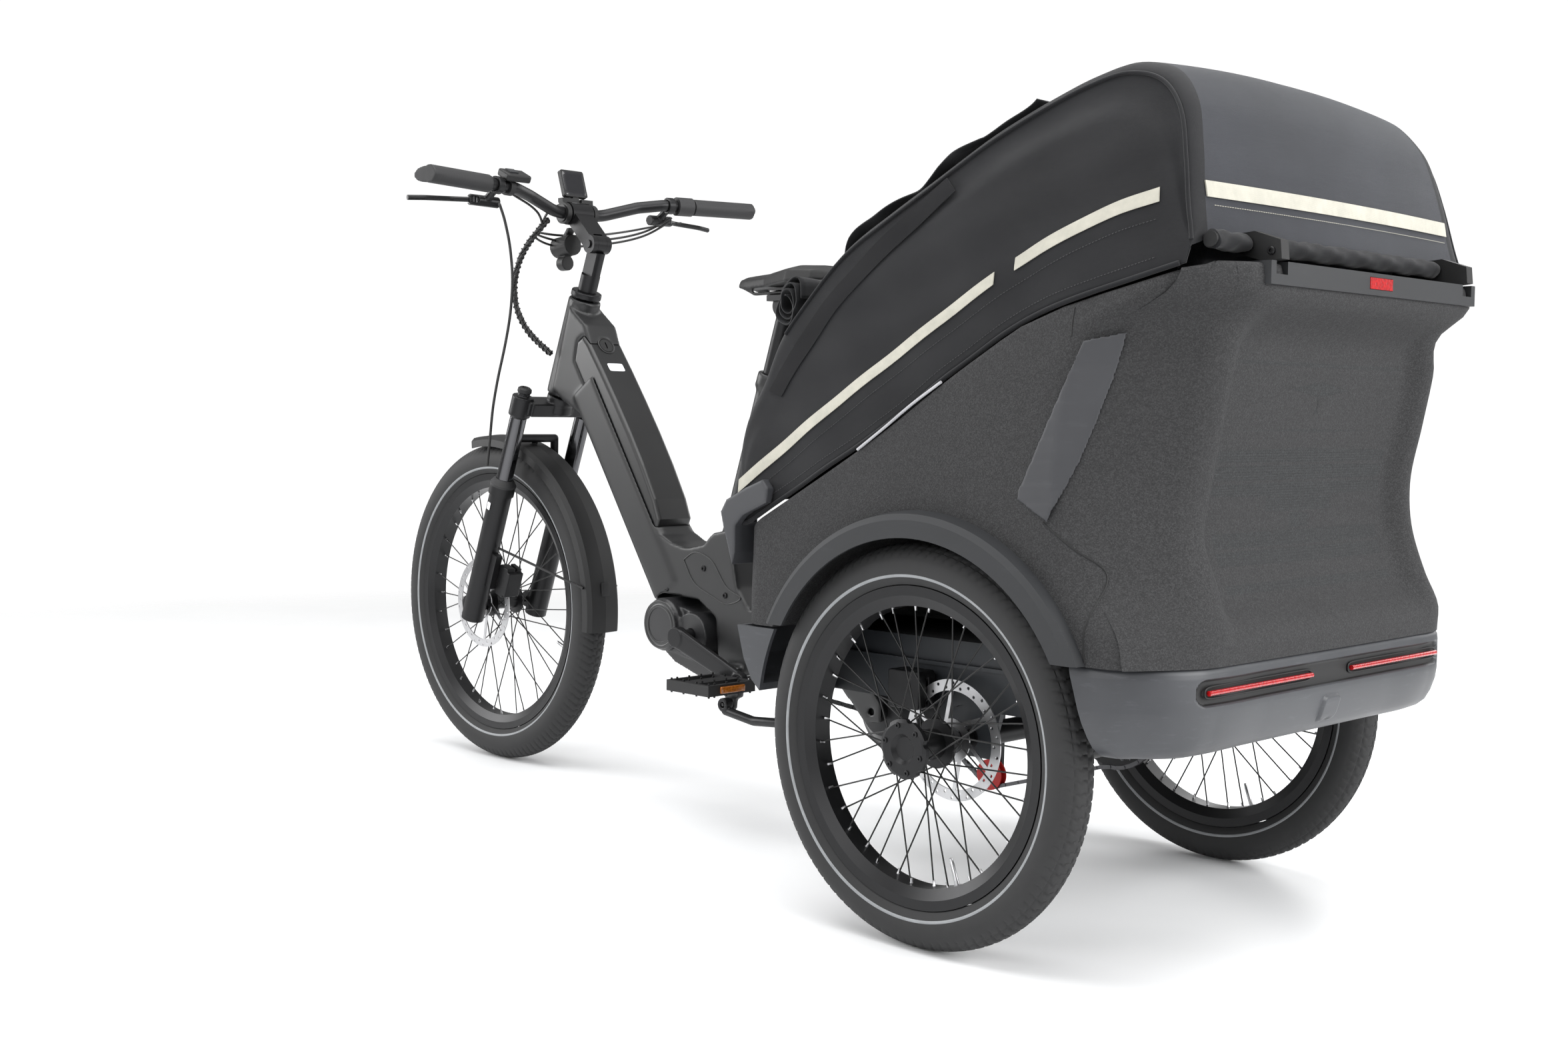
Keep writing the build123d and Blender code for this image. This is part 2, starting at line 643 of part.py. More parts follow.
def battery_solid(grow):
    """Battery with its glossy cover, set in the top of the down tube."""
    outline = [down_point(along, across) for along, across in BATTERY_LINE]
    solid = prism(outline, -BATTERY_HALF - grow, BATTERY_HALF + grow)
    if grow == 0:
        long_edges = solid.edges().filter_by(lambda e: abs(e.tangent_at(0.5).Y) < 0.1)
        solid = fillet(long_edges, 8)
    return solid


def battery():
    solid = battery_solid(0)
    return solid - lock_axis_rod(-9, 40, 14.3)


def lock_axis_rod(start, end, radius):
    """Round bar on the axis of the lock, square to the battery cover."""
    x, z = down_point(LOCK_ALONG, LOCK_ACROSS + start)
    x_end, z_end = down_point(LOCK_ALONG, LOCK_ACROSS + end)
    return rod((x, 0, z), (x_end, 0, z_end), radius)


def lock_cap():
    """Round key cap of the battery lock, with its slot."""
    disc = lock_axis_rod(-8.6, 4.2, 14)
    x, z = down_point(LOCK_ALONG, LOCK_ACROSS + 3.4)
    slot = Pos(x, 0, z) * Rot(0, -DOWN_TUBE_SLOPE, 0) * Box(14, 3, 4)
    return disc - slot


def drive_unit_solid(grow):
    """Motor case: two round ends joined, wider at the crank axle."""
    front = MOTOR_AXLE
    case = y_disc(front, 47 + grow, -48 - grow, 60 + grow)
    case = case + y_disc(CRANK_AXLE, 40 + grow, -48 - grow, 58 + grow)
    angle = degrees(atan2(front[1] - CRANK_AXLE[1], front[0] - CRANK_AXLE[0]))
    middle = Pos((front[0] + CRANK_AXLE[0]) / 2, 0, (front[1] + CRANK_AXLE[1]) / 2 - 2)
    link = middle * Rot(0, -angle, 0) * Box(74, 96 + grow * 2, 82 + grow * 2)
    return case + link


def drive_unit():
    """Mid motor with its round side cover and the belly guard."""
    case = drive_unit_solid(0)
    cover = y_disc(MOTOR_AXLE, 44, 60, 66)
    belly = [(255, 292), (200, 258), (125, 236), (84, 248), (84, 256), (200, 278), (240, 296)]
    guard = prism(belly, -44, 44)
    case = case + cover + guard
    return case - y_disc(CRANK_AXLE, 12 + RUNNING_GAP, -70, 75)


def gear_hub():
    """Internal-gear hub with its input and output cogs."""
    profile = [
        (-76, 0), (-76, 12), (-70.5, 12), (-70.5, 40), (-65.5, 40), (-65.5, 20),
        (-58, 20), (-58, 41), (-54, 41), (-54, 24), (-48, 60), (-44, 72), (30, 72), (36, 62), (60, 40),
        (64, 18), (76, 18), (76, 0),
    ]
    return spin(profile, GEAR_HUB)


def chain_loop(first, second, first_r, second_r, y):
    """Chain round two wheels, as one flat loop."""
    def outline(extra):
        wheels = y_disc(first, first_r + extra, y - 3.2, y + 3.2)
        wheels = wheels + y_disc(second, second_r + extra, y - 3.2, y + 3.2)
        span = hypot(second[0] - first[0], second[1] - first[1])
        slope = degrees(atan2(second[1] - first[1], second[0] - first[0]))
        lean = degrees(asin((first_r - second_r) / span))
        corners = []
        for centre, radius, turn in (
            (first, first_r, lean), (second, second_r, lean),
            (second, second_r, -lean), (first, first_r, -lean),
        ):
            side = 90 if turn is lean and len(corners) < 2 else -90
            aim = slope + (side - turn if side > 0 else side - turn)
            corners.append(polar(centre, radius + extra, aim))
        return wheels + prism(corners, y - 3.2, y + 3.2)
    return outline(3.4) - outline(-3.2)


def drive_chain():
    return chain_loop(CRANK_AXLE, GEAR_HUB, cog_radius(CHAINRING_TEETH), cog_radius(HUB_COG_TEETH) + 1.0,
                      FRONT_CHAIN_Y)


def crank_end(angle):
    return polar(CRANK_AXLE, CRANK_LENGTH, angle)


def crank_arm(side, angle):
    """Tapered forged crank arm."""
    tip = crank_end(angle)
    corners = [
        polar(CRANK_AXLE, 18, angle + 87), polar(tip, 14, angle + 87),
        polar(tip, 14, angle - 87), polar(CRANK_AXLE, 18, angle - 87),
    ]
    arm = prism(corners, side * 81.5, side * 94.5)
    arm = fillet(arm.edges().filter_by(lambda e: abs(e.tangent_at(0.5).Y) < 0.1 and e.length > 100), 4)
    arm = arm + y_disc(CRANK_AXLE, 18, side * 78, side * 96) + y_disc(tip, 14.5, side * 81, side * 96)
    return arm - y_disc(tip, 7 + RUNNING_GAP, side * 70, side * 110)


def cranks():
    """Spindle, both arms and the chainring with its guard."""
    spindle = y_disc(CRANK_AXLE, 12, -84, 84)
    left = crank_arm(1, CRANK_ANGLE)
    right = crank_arm(-1, CRANK_ANGLE + 180)
    ring = y_ring(CRANK_AXLE, cog_radius(CHAINRING_TEETH) - 3.6, 58, FRONT_CHAIN_Y - 2, FRONT_CHAIN_Y + 2)
    spider = y_disc(CRANK_AXLE, 22, -72, FRONT_CHAIN_Y + 2)
    for i in range(5):
        end = polar(CRANK_AXLE, 61, 72 * i + 20)
        centre = (CRANK_AXLE[0], FRONT_CHAIN_Y - 4, CRANK_AXLE[1])
        spider = spider + rod(centre, (end[0], FRONT_CHAIN_Y - 4, end[1]), 4.5)
    guard = y_ring(CRANK_AXLE, 84, 56, -69, -66)
    posts = [y_disc(polar(CRANK_AXLE, 60, 72 * i + 20), 5, -68, FRONT_CHAIN_Y) for i in range(5)]
    whole = spindle + left + right + ring + spider + guard
    for post in posts:
        whole = whole + post
    return whole


def pedal(side, angle):
    """Platform pedal with open cage, studs and spindle."""
    x, z = crank_end(angle)
    cage = block(x - 52, x + 52, side * 102, side * 204, z - 9, z + 9)
    for x0, x1 in ((x - 44, x - 18), (x + 18, x + 44)):
        cage = cage - block(x0, x1, side * 110, side * 196, z - 20, z + 20)
    for reach in (-46, -16, 16, 46):
        for y in (108, 134, 160, 186, 198):
            cage = cage + rod((x + reach, side * y, z - 12), (x + reach, side * y, z + 12), 1.8)
    return cage + y_disc((x, z), 7, side * 82, side * 103)


def kickstand():
    """Side stand, folded back along the frame."""
    pivot = STAND_PIVOT
    hinge = y_disc(pivot, 12, 57, 72)
    leg = pipe([(43, 64.5, 193), (-30, 66, 184), (-165, 74, 196)], 8, [40])
    foot = rod((-150, 73, 194.6), (-172, 74, 196.6), 12)
    return hinge + leg + foot - y_disc(pivot, 5 + RUNNING_GAP, 30, 80)


# ---------------------------------------------------------------- saddle
def seat_post():
    seat_dir = (-cos(radians(SEAT_ANGLE)), sin(radians(SEAT_ANGLE)))
    low = (SEAT_COLLAR[0] - seat_dir[0] * 165, SEAT_COLLAR[1] - seat_dir[1] * 165)
    high = (SEAT_COLLAR[0] + seat_dir[0] * 118, SEAT_COLLAR[1] + seat_dir[1] * 118)
    post = rod((low[0], 0, low[1]), (high[0], 0, high[1]), SEAT_POST_R)
    head = y_disc(high, 17, -21, 21)
    x, z = high
    cradle = block(x - 24, x + 24, -28, 28, z + 8, z + 17.5)
    cradle = cradle + block(x - 16, x + 16, -14, 14, z + 17, z + 26)
    cradle = cradle + block(x - 20, x + 20, -28, 28, z + 25.4, z + 29.4)
    return post + head + cradle


def saddle():
    """Sprung city saddle on two rails."""
    rows = [
        (-191, 34, 928, 16), (-170, 84, 935, 26), (-120, 92, 938, 29), (-70, 66, 936, 27),
        (-10, 32, 932, 23), (50, 21, 930, 21), (74, 12, 926, 14),
    ]
    wires = []
    for x, half, top, deep in rows:
        outline = [(-half, top - deep), (-half * 0.92, top - 8), (-half * 0.55, top), (half * 0.55, top),
                   (half * 0.92, top - 8), (half, top - deep)]
        wires.append(Wire.make_polygon([Vector(x, y, z) for y, z in outline]))
    shell = Solid.make_loft(wires, ruled=True)
    for side in (1, -1):
        route = [(60, side * 9, 912), (20, side * 22, 899), (-78, side * 22, 899), (-140, side * 30, 904)]
        shell = shell + pipe(route, 3.5, [14, 14])
    return shell


# ---------------------------------------------------------------- fork and steering
def fork_upper():
    """Steerer, crown and two stanchions."""
    steerer = steer_rod(0, 0, -HEAD_LENGTH - 8, 14, 16)
    upper = steer_rod(0, 0, 1, 13, 29)
    race = steer_rod(0, 0, -HEAD_LENGTH - 14, -HEAD_LENGTH - 1, 28)
    crown = STEER * Pos(LEG_RAKE / 2, 0, STANCHION_TOP_W + 14) * Box(46, 2 * LEG_Y - 8, 26)
    column = steer_rod(0, 0, STANCHION_TOP_W + 8, -HEAD_LENGTH - 4, 26)
    fork = steerer + upper + race + crown + column
    for side in (1, -1):
        socket = steer_rod(LEG_RAKE, side * LEG_Y, STANCHION_TOP_W - 8, STANCHION_TOP_W + 32, 21)
        knob = steer_rod(LEG_RAKE, side * LEG_Y, STANCHION_TOP_W + 30, STANCHION_TOP_W + 40, 12)
        stanchion = steer_rod(LEG_RAKE, side * LEG_Y, STANCHION_END_W, STANCHION_TOP_W, STANCHION_R)
        fork = fork + socket + knob + stanchion
    return fork


def fork_lowers():
    """Cast lower legs with the arch, axle and brake lug."""
    fork = None
    for side in (1, -1):
        leg = steer_rod(LEG_RAKE, side * LEG_Y, FRONT_AXLE_W - 26, LOWER_TOP_W, LOWER_LEG_R)
        seal = steer_rod(LEG_RAKE, side * LEG_Y, LOWER_TOP_W - 22, LOWER_TOP_W, 25)
        shoe = y_disc((FRONT_AXLE_X, FRONT_AXLE_Z), 16, side * (LEG_Y - 21), side * (LEG_Y + 10))
        leg = leg + seal + shoe
        leg = leg - steer_rod(LEG_RAKE, side * LEG_Y, STANCHION_END_W - FORK_TRAVEL - 6, LOWER_TOP_W + 5,
                              STANCHION_R + RUNNING_GAP)
        fork = leg if fork is None else fork + leg
    # brace over the tyre, ahead of the legs
    for side in (1, -1):
        foot = steer_point(LEG_RAKE + 22, side * (LEG_Y - 12), LOWER_TOP_W - 20)
        top = steer_point(BRACE_U, side * 47, BRACE_W)
        fork = fork + rod(tuple(foot), tuple(top), 8) + Pos(*top) * Sphere(8)
    brace_ends = [tuple(steer_point(BRACE_U, side * 47, BRACE_W)) for side in (1, -1)]
    fork = fork + rod(*brace_ends, 8)
    axle = y_disc((FRONT_AXLE_X, FRONT_AXLE_Z), 6, -LEG_Y - 14, LEG_Y + 14)
    lug = STEER * Pos(LEG_RAKE - 27.9, LEG_Y - 2, FRONT_AXLE_W + 92) * Box(21.8, 14, 70)
    return fork + axle + lug


def front_caliper():
    """Brake caliper behind the left leg, astride the front disc."""
    place = STEER * Pos(LEG_RAKE - 52, 52, FRONT_AXLE_W + 80)
    body = place * Box(26, 34, 62)
    slot_y = 47.5
    body = body - block(600, 900, slot_y - 2.4, slot_y + 2.4, 200, 500)
    bridge = place * Pos(-17, 0, 0) * Box(9, 34, 50)
    bridge = bridge - y_disc((FRONT_AXLE_X, FRONT_AXLE_Z), 92, 30, 80)
    return body + bridge


GUARD_INNER_R = 331.0


def front_mudguard():
    """Curved guard with rolled edges, on a wire stay."""
    centre = (FRONT_AXLE_X, FRONT_AXLE_Z)
    profile = [
        (-38, -18), (-37, -4), (-30, 3), (0, 6), (30, 3), (37, -4), (38, -18),
        (35, -18), (34.5, -5), (28, 0), (0, 3), (-28, 0), (-34.5, -5), (-35, -18),
    ]
    points = [Vector(centre[0], y, centre[1] + GUARD_INNER_R + r) for y, r in profile]
    axis = Axis((centre[0], 0, centre[1]), (0, 1, 0))
    ring = Solid.revolve(Face(Wire.make_polygon(points)), 360, axis)
    far = 600
    front = polar(centre, far, 80)
    rear = polar(centre, far, 186)
    low = polar(centre, far * 1.2, 270)
    ahead = polar(centre, far * 1.2, 10)
    cut = prism([centre, front, ahead, low, rear], -60, 60)
    guard = ring - cut
    rear_end = polar(centre, 322, 171)
    stays = []
    for side in (1, -1):
        leg_end = steer_point(LEG_RAKE - 26, side * (LEG_Y - 4), FRONT_AXLE_W + 140)
        stays.append(rod(tuple(leg_end), (rear_end[0], side * 39.5, rear_end[1]), 2.4))
    lug = rod(tuple(steer_point(BRACE_U, 0, BRACE_W - 8.2)), tuple(steer_point(BRACE_U, 0, BRACE_W - 14)), 7)
    return guard + lug, stays


# ---------------------------------------------------------------- cockpit
def stem_base():
    """Lower half of the adjustable stem, clamped on the steerer."""
    post = steer_rod(0, 0, 14.1, 92, 18)
    boss = y_disc(STEM_PIVOT, 17, -10, 10)
    base = post + boss
    base = base - y_ring(STEM_PIVOT, 60, 17.6, 10, 40) - y_ring(STEM_PIVOT, 60, 17.6, -40, -10)
    for side in (1, -1):
        base = base - y_disc(STEM_PIVOT, 18, side * 10, side * 40)
    return base - y_disc(STEM_PIVOT, 4 + RUNNING_GAP, -30, 30)


def stem_head():
    """Upper half of the stem: two ears, a pivot bolt and the bar clamp."""
    slope = degrees(atan2(BAR_CLAMP[1] - STEM_PIVOT[1], BAR_CLAMP[0] - STEM_PIVOT[0]))
    length = hypot(BAR_CLAMP[1] - STEM_PIVOT[1], BAR_CLAMP[0] - STEM_PIVOT[0])
    middle = ((BAR_CLAMP[0] + STEM_PIVOT[0]) / 2, (BAR_CLAMP[1] + STEM_PIVOT[1]) / 2)
    arm = Pos(middle[0], 0, middle[1]) * Rot(0, -slope, 0) * Box(length, 42, 27)
    arm = arm + y_disc(BAR_CLAMP, 21, -24, 24)
    arm = arm - y_disc(STEM_PIVOT, 19.5, -10.3, 10.3)
    for side in (1, -1):
        arm = arm + y_disc(STEM_PIVOT, 17, side * 10.3, side * 21)
    arm = arm + y_disc(STEM_PIVOT, 4, -24, 24)
    for side in (1, -1):
        arm = arm + y_disc(STEM_PIVOT, 7.5, side * 21, side * 24)
    return arm - y_disc(BAR_CLAMP, 15.9, -30, 30)


BAR_POINTS = [(541, 52, 1076.5), (519, 128, 1098), (497.6, 175, 1105.04), (465.77, 373.2, 1107.93)]


def handlebar():
    """Swept riser bar."""
    right = [(x, -y, z) for x, y, z in reversed(BAR_POINTS)]
    bar = pipe(right + BAR_POINTS, BAR_R, [36, 60, 90, 90, 60, 36])
    return bar + y_disc(BAR_CLAMP, 15.8, -38, 38)


def along_grip(t):
    """Point on the left grip axis, t from 0 at the inner end to 1."""
    a, b = Vector(*GRIP_INNER), Vector(*GRIP_OUTER)
    return a + (b - a) * t


def grip(side):
    """Rubber grip with a flared palm wing at its end."""
    inner, outer = along_grip(0.0), along_grip(1.0)
    sleeve = rod(tuple(inner), tuple(outer), 16)
    wing_plane = Plane(origin=along_grip(0.80), z_dir=outer - inner, x_dir=(0, 0, 1))
    end_plane = Plane(origin=along_grip(1.0), z_dir=outer - inner, x_dir=(0, 0, 1))
    start_plane = Plane(origin=along_grip(0.35), z_dir=outer - inner, x_dir=(0, 0, 1))
    sections = [start_plane * Pos(0, 0) * Ellipse(15.5, 15), wing_plane * Pos(0, 8) * Ellipse(13, 24),
                end_plane * Pos(0, 10) * Ellipse(14, 28)]
    wing = loft(sections)
    sleeve = sleeve + wing
    sleeve = sleeve - rod(tuple(along_grip(-0.1)), tuple(along_grip(0.97)), BAR_R + 0.02)
    return sleeve if side > 0 else mirror_y(sleeve)


def lever_seat(side):
    """Middle of the lever clamp on the bar; the right one sits inboard of the twist shifter."""
    return along_grip(-0.16 if side > 0 else -0.38)


def brake_master(side):
    """Brake lever bracket with its fluid reservoir."""
    seat = lever_seat(side)
    ring_axis = along_grip(1) - along_grip(0)
    unit = ring_axis.normalized()
    ring = rod(tuple(seat - unit * 7), tuple(seat + unit * 7), 16)
    ring = ring - rod(tuple(seat - unit * 20), tuple(seat + unit * 20), BAR_R + 0.02)
    body = rod((seat.X + 32, seat.Y - 24, seat.Z - 27), (seat.X + 38, seat.Y + 34, seat.Z - 25), 10)
    neck = rod((seat.X + 10, seat.Y, seat.Z - 9), (seat.X + 31, seat.Y, seat.Z - 22), 7)
    neck = neck - rod(tuple(seat - unit * 20), tuple(seat + unit * 20), BAR_R + 0.02)
    master = ring + body + neck
    slot = block(seat.X + 20, seat.X + 70, seat.Y + 19, seat.Y + 60, seat.Z - 30.5, seat.Z - 19.5)
    master = master - slot
    pin = rod((seat.X + 37, seat.Y + 28, seat.Z - 34), (seat.X + 37, seat.Y + 28, seat.Z - 16), 2.5)
    master = master + pin
    return master if side > 0 else mirror_y(master)


def lever_pivot(side):
    seat = lever_seat(side)
    return Vector(seat.X + 37, seat.Y + 28, seat.Z - 25)


def brake_lever(side):
    """Curved lever blade on its pivot."""
    p = lever_pivot(side)
    boss = rod((p.X, p.Y, p.Z - 4.9), (p.X, p.Y, p.Z + 4.9), 7)
    blade = pipe([(p.X + 3, p.Y, p.Z), (p.X + 20, p.Y + 32, p.Z), (p.X + 14, p.Y + 92, p.Z - 4),
                  (p.X + 20, p.Y + 122, p.Z - 6)], 4.6, [24, 40])
    lever = boss + blade
    lever = lever - rod((p.X, p.Y, p.Z - 20), (p.X, p.Y, p.Z + 20), 2.5 + RUNNING_GAP)
    return lever if side > 0 else mirror_y(lever)


def twist_shifter():
    """Rotating sleeve of the stepless gear control, inboard of the right grip."""
    a = along_grip(-0.02)
    unit = (along_grip(1) - along_grip(0)).normalized()
    start = a - unit * 1
    sleeve = rod(tuple(start - unit * 34), tuple(start), 18)
    sleeve = sleeve - rod(tuple(start - unit * 60), tuple(start + unit * 20), BAR_R + RUNNING_GAP)
    return mirror_y(sleeve)


def remote_body():
    """Assist remote: clamp, tilted pod with its button wells."""
    seat = along_grip(-0.36)
    unit = (along_grip(1) - along_grip(0)).normalized()
    ring = rod(tuple(seat - unit * 6), tuple(seat + unit * 6), 15.5)
    ring = ring - rod(tuple(seat - unit * 20), tuple(seat + unit * 20), BAR_R + 0.02)
    pod = Pos(seat.X - 8, seat.Y - 8, seat.Z + 20) * Rot(0, -25, 0) * Box(36, 52, 14)
    pod = fillet(pod.edges(), 4)
    well = Pos(seat.X - 8, seat.Y - 8, seat.Z + 20) * Rot(0, -25, 0) * Pos(0, 8, 6) * Box(18.4, 18.4, 12)
    return ring + pod - well


def remote_button():
    seat = along_grip(-0.36)
    key = Pos(seat.X - 8, seat.Y - 8, seat.Z + 20) * Rot(0, -25, 0) * Pos(0, 8, 6.2) * Box(18, 18, 7)
    return key


DISPLAY_PIVOT = (549.0, 1102.0)


def display():
    """Tilting colour display."""
    slab = Pos(557.5, 0, 1134) * Rot(0, 18, 0) * Box(9, 54, 54)
    slab = fillet(slab.edges().filter_by(lambda e: e.length < 9.5), 4)
    ear = prism([(545.5, 1099), (552.5, 1099), (557, 1114), (547, 1112)], -7, 7)
    pin = y_disc(DISPLAY_PIVOT, 2.5, -9, 9)
    return slab + ear + pin


def headlight():
    """Lamp under the bar, on a bracket from the clamp."""
    lamp = rod((556, 0, 1020), (604, 0, 1016), 20)
    arm = prism([(556, 1052), (566, 1052), (584, 1032), (574, 1030)], -8, 8)
    horn = rod((572, 0, 986), (592, 0, 986), 14) + rod((582, 0, 990), (582, 0, 1002), 5)
    lamp = lamp + arm + horn
    return lamp - y_disc(BAR_CLAMP, 22.05, -40, 40)


def display_mount():
    """Two-armed bracket that carries the display above the clamp."""
    base = y_ring(BAR_CLAMP, 20, 15.85, 27, 36) + y_ring(BAR_CLAMP, 20, 15.85, -36, -27)
    for side in (1, -1):
        base = base + prism([(537, 1090), (549, 1090), (555, 1098), (541, 1098)], side * 27, side * 36)
        base = base + prism([(541, 1098), (555, 1098), (555, 1105), (541, 1105)], side * 9.4, side * 36)
    return base - y_disc(DISPLAY_PIVOT, 2.5 + RUNNING_GAP, -9.4, 9.4) - y_disc(BAR_CLAMP, 15.85, -40, 40)


# ---------------------------------------------------------------- cables
HOSE_POINTS = [
    (502, 206, 1074), (516, 186, 1052), (536, 160, 1010), (560, 136, 950), (592, 119, 884),
    (626, 109, 822), (658, 103, 764), (680, 100, 706), (690, 99, 650), (700, 99, 596),
]
BUNDLE_POINTS = [
    (546, 66, 1062), (578, 76, 1034), (618, 79, 996), (642, 77, 948), (644, 71, 900),
    (622, 61, 856), (588, 49, 826), (568, 43, 811),
]


def bend_radii(points):
    """Bend radii that the runs beside each corner allow."""
    radii = []
    for before, corner, after in zip(points, points[1:], points[2:]):
        a = Vector(*corner) - Vector(*before)
        b = Vector(*after) - Vector(*corner)
        turn = radians(a.get_angle(b))
        radii.append(0.45 * min(a.length, b.length) / max(sin(turn / 2) / cos(turn / 2), 1e-3))
    return radii


def cable(name, points, radius):
    radii = bend_radii(points)
    print(name, "bend radii", [round(r) for r in radii])
    return pipe(points, radius, radii)


# ---------------------------------------------------------------- write everything
def main():
    os.makedirs("parts", exist_ok=True)
    for name, side in (("rear_left", 1), ("rear_right", -1)):
        make_rear_wheel(name, side)
    make_front_wheel()
    save("cargo_box", cargo_box())
    save("bench_pads", *bench_pads())
    save("wheel_arches", wheel_arch(1), wheel_arch(-1))
    save("grab_trims", side_insert(1), side_insert(-1), corner_hook(1), corner_hook(-1))
    save("rear_trim_strip", trim_strip())
    save("rear_bumper", rear_bumper())
    save("red_lenses", *red_lenses())
    save("side_skirts", side_skirt(1), side_skirt(-1))
    save("chassis_frame", chassis_frame())
    save("rear_axle", rear_axle())
    save("rear_calipers", rear_caliper(1), rear_caliper(-1))
    save("tensioner_roller", roller())
    save("canopy_cover", canopy_cover())
    save("canopy_frame", canopy_frame())
    save("main_frame", main_frame())
    save("battery", battery())
    save("lock_cap", lock_cap())
    save("drive_unit", drive_unit())
    save("gear_hub", gear_hub())
    save("drive_chain", drive_chain())
    save("cranks", cranks())
    save("pedal_left", pedal(1, CRANK_ANGLE))
    save("pedal_right", pedal(-1, CRANK_ANGLE + 180))
    save("kickstand", kickstand())
    save("seat_post", seat_post())
    save("saddle", saddle())
    save("fork_upper", fork_upper())
    save("fork_lowers", fork_lowers())
    save("front_caliper", front_caliper())
    guard, stays = front_mudguard()
    save("front_mudguard", guard, *stays)
    save("stem_base", stem_base())
    save("stem_head", stem_head())
    save("handlebar", handlebar())
    save("grips", grip(1), grip(-1))
    save("brake_masters", brake_master(1), brake_master(-1))
    save("brake_lever_left", brake_lever(1))
    save("brake_lever_right", brake_lever(-1))
    save("twist_shifter", twist_shifter())
    save("remote_body", remote_body())
    save("remote_button", remote_button())
    save("display", display())
    save("display_mount", display_mount())
    save("headlight", headlight())
    save("brake_hose", cable("brake_hose", HOSE_POINTS, 2.6))
    save("cable_bundle", cable("cable_bundle", BUNDLE_POINTS, 6.0))


main()
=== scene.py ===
"""Looks of the three-wheeled cargo cycle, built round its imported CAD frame.

Metres; X forward, Y to the rider's left, Z up, floor at Z = 0.
"""
import json
import math

import bmesh
import bpy
import numpy as np
from mathutils import Matrix, Vector


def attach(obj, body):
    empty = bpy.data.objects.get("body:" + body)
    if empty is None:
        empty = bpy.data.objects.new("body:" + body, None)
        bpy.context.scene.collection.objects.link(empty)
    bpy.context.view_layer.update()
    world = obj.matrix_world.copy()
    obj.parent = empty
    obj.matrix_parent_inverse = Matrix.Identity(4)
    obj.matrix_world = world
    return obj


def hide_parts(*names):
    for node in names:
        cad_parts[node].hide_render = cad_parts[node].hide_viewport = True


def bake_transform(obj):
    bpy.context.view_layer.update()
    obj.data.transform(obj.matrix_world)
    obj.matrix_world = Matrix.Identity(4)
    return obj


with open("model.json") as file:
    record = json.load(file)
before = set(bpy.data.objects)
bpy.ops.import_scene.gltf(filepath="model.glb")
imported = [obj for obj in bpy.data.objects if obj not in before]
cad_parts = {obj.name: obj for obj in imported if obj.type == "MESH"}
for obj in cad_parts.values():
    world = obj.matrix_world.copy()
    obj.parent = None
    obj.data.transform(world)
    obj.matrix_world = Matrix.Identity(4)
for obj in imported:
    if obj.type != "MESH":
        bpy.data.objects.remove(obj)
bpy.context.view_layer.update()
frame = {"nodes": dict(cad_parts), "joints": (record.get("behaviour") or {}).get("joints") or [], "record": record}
NODES = frame["nodes"]
BODY_OF = {n: b for b, ns in frame["record"]["behaviour"]["bodies"].items() for n in ns}
JOINT = {j["name"]: j for j in frame["joints"]}
SIDES = ((1, "left"), (-1, "right"))


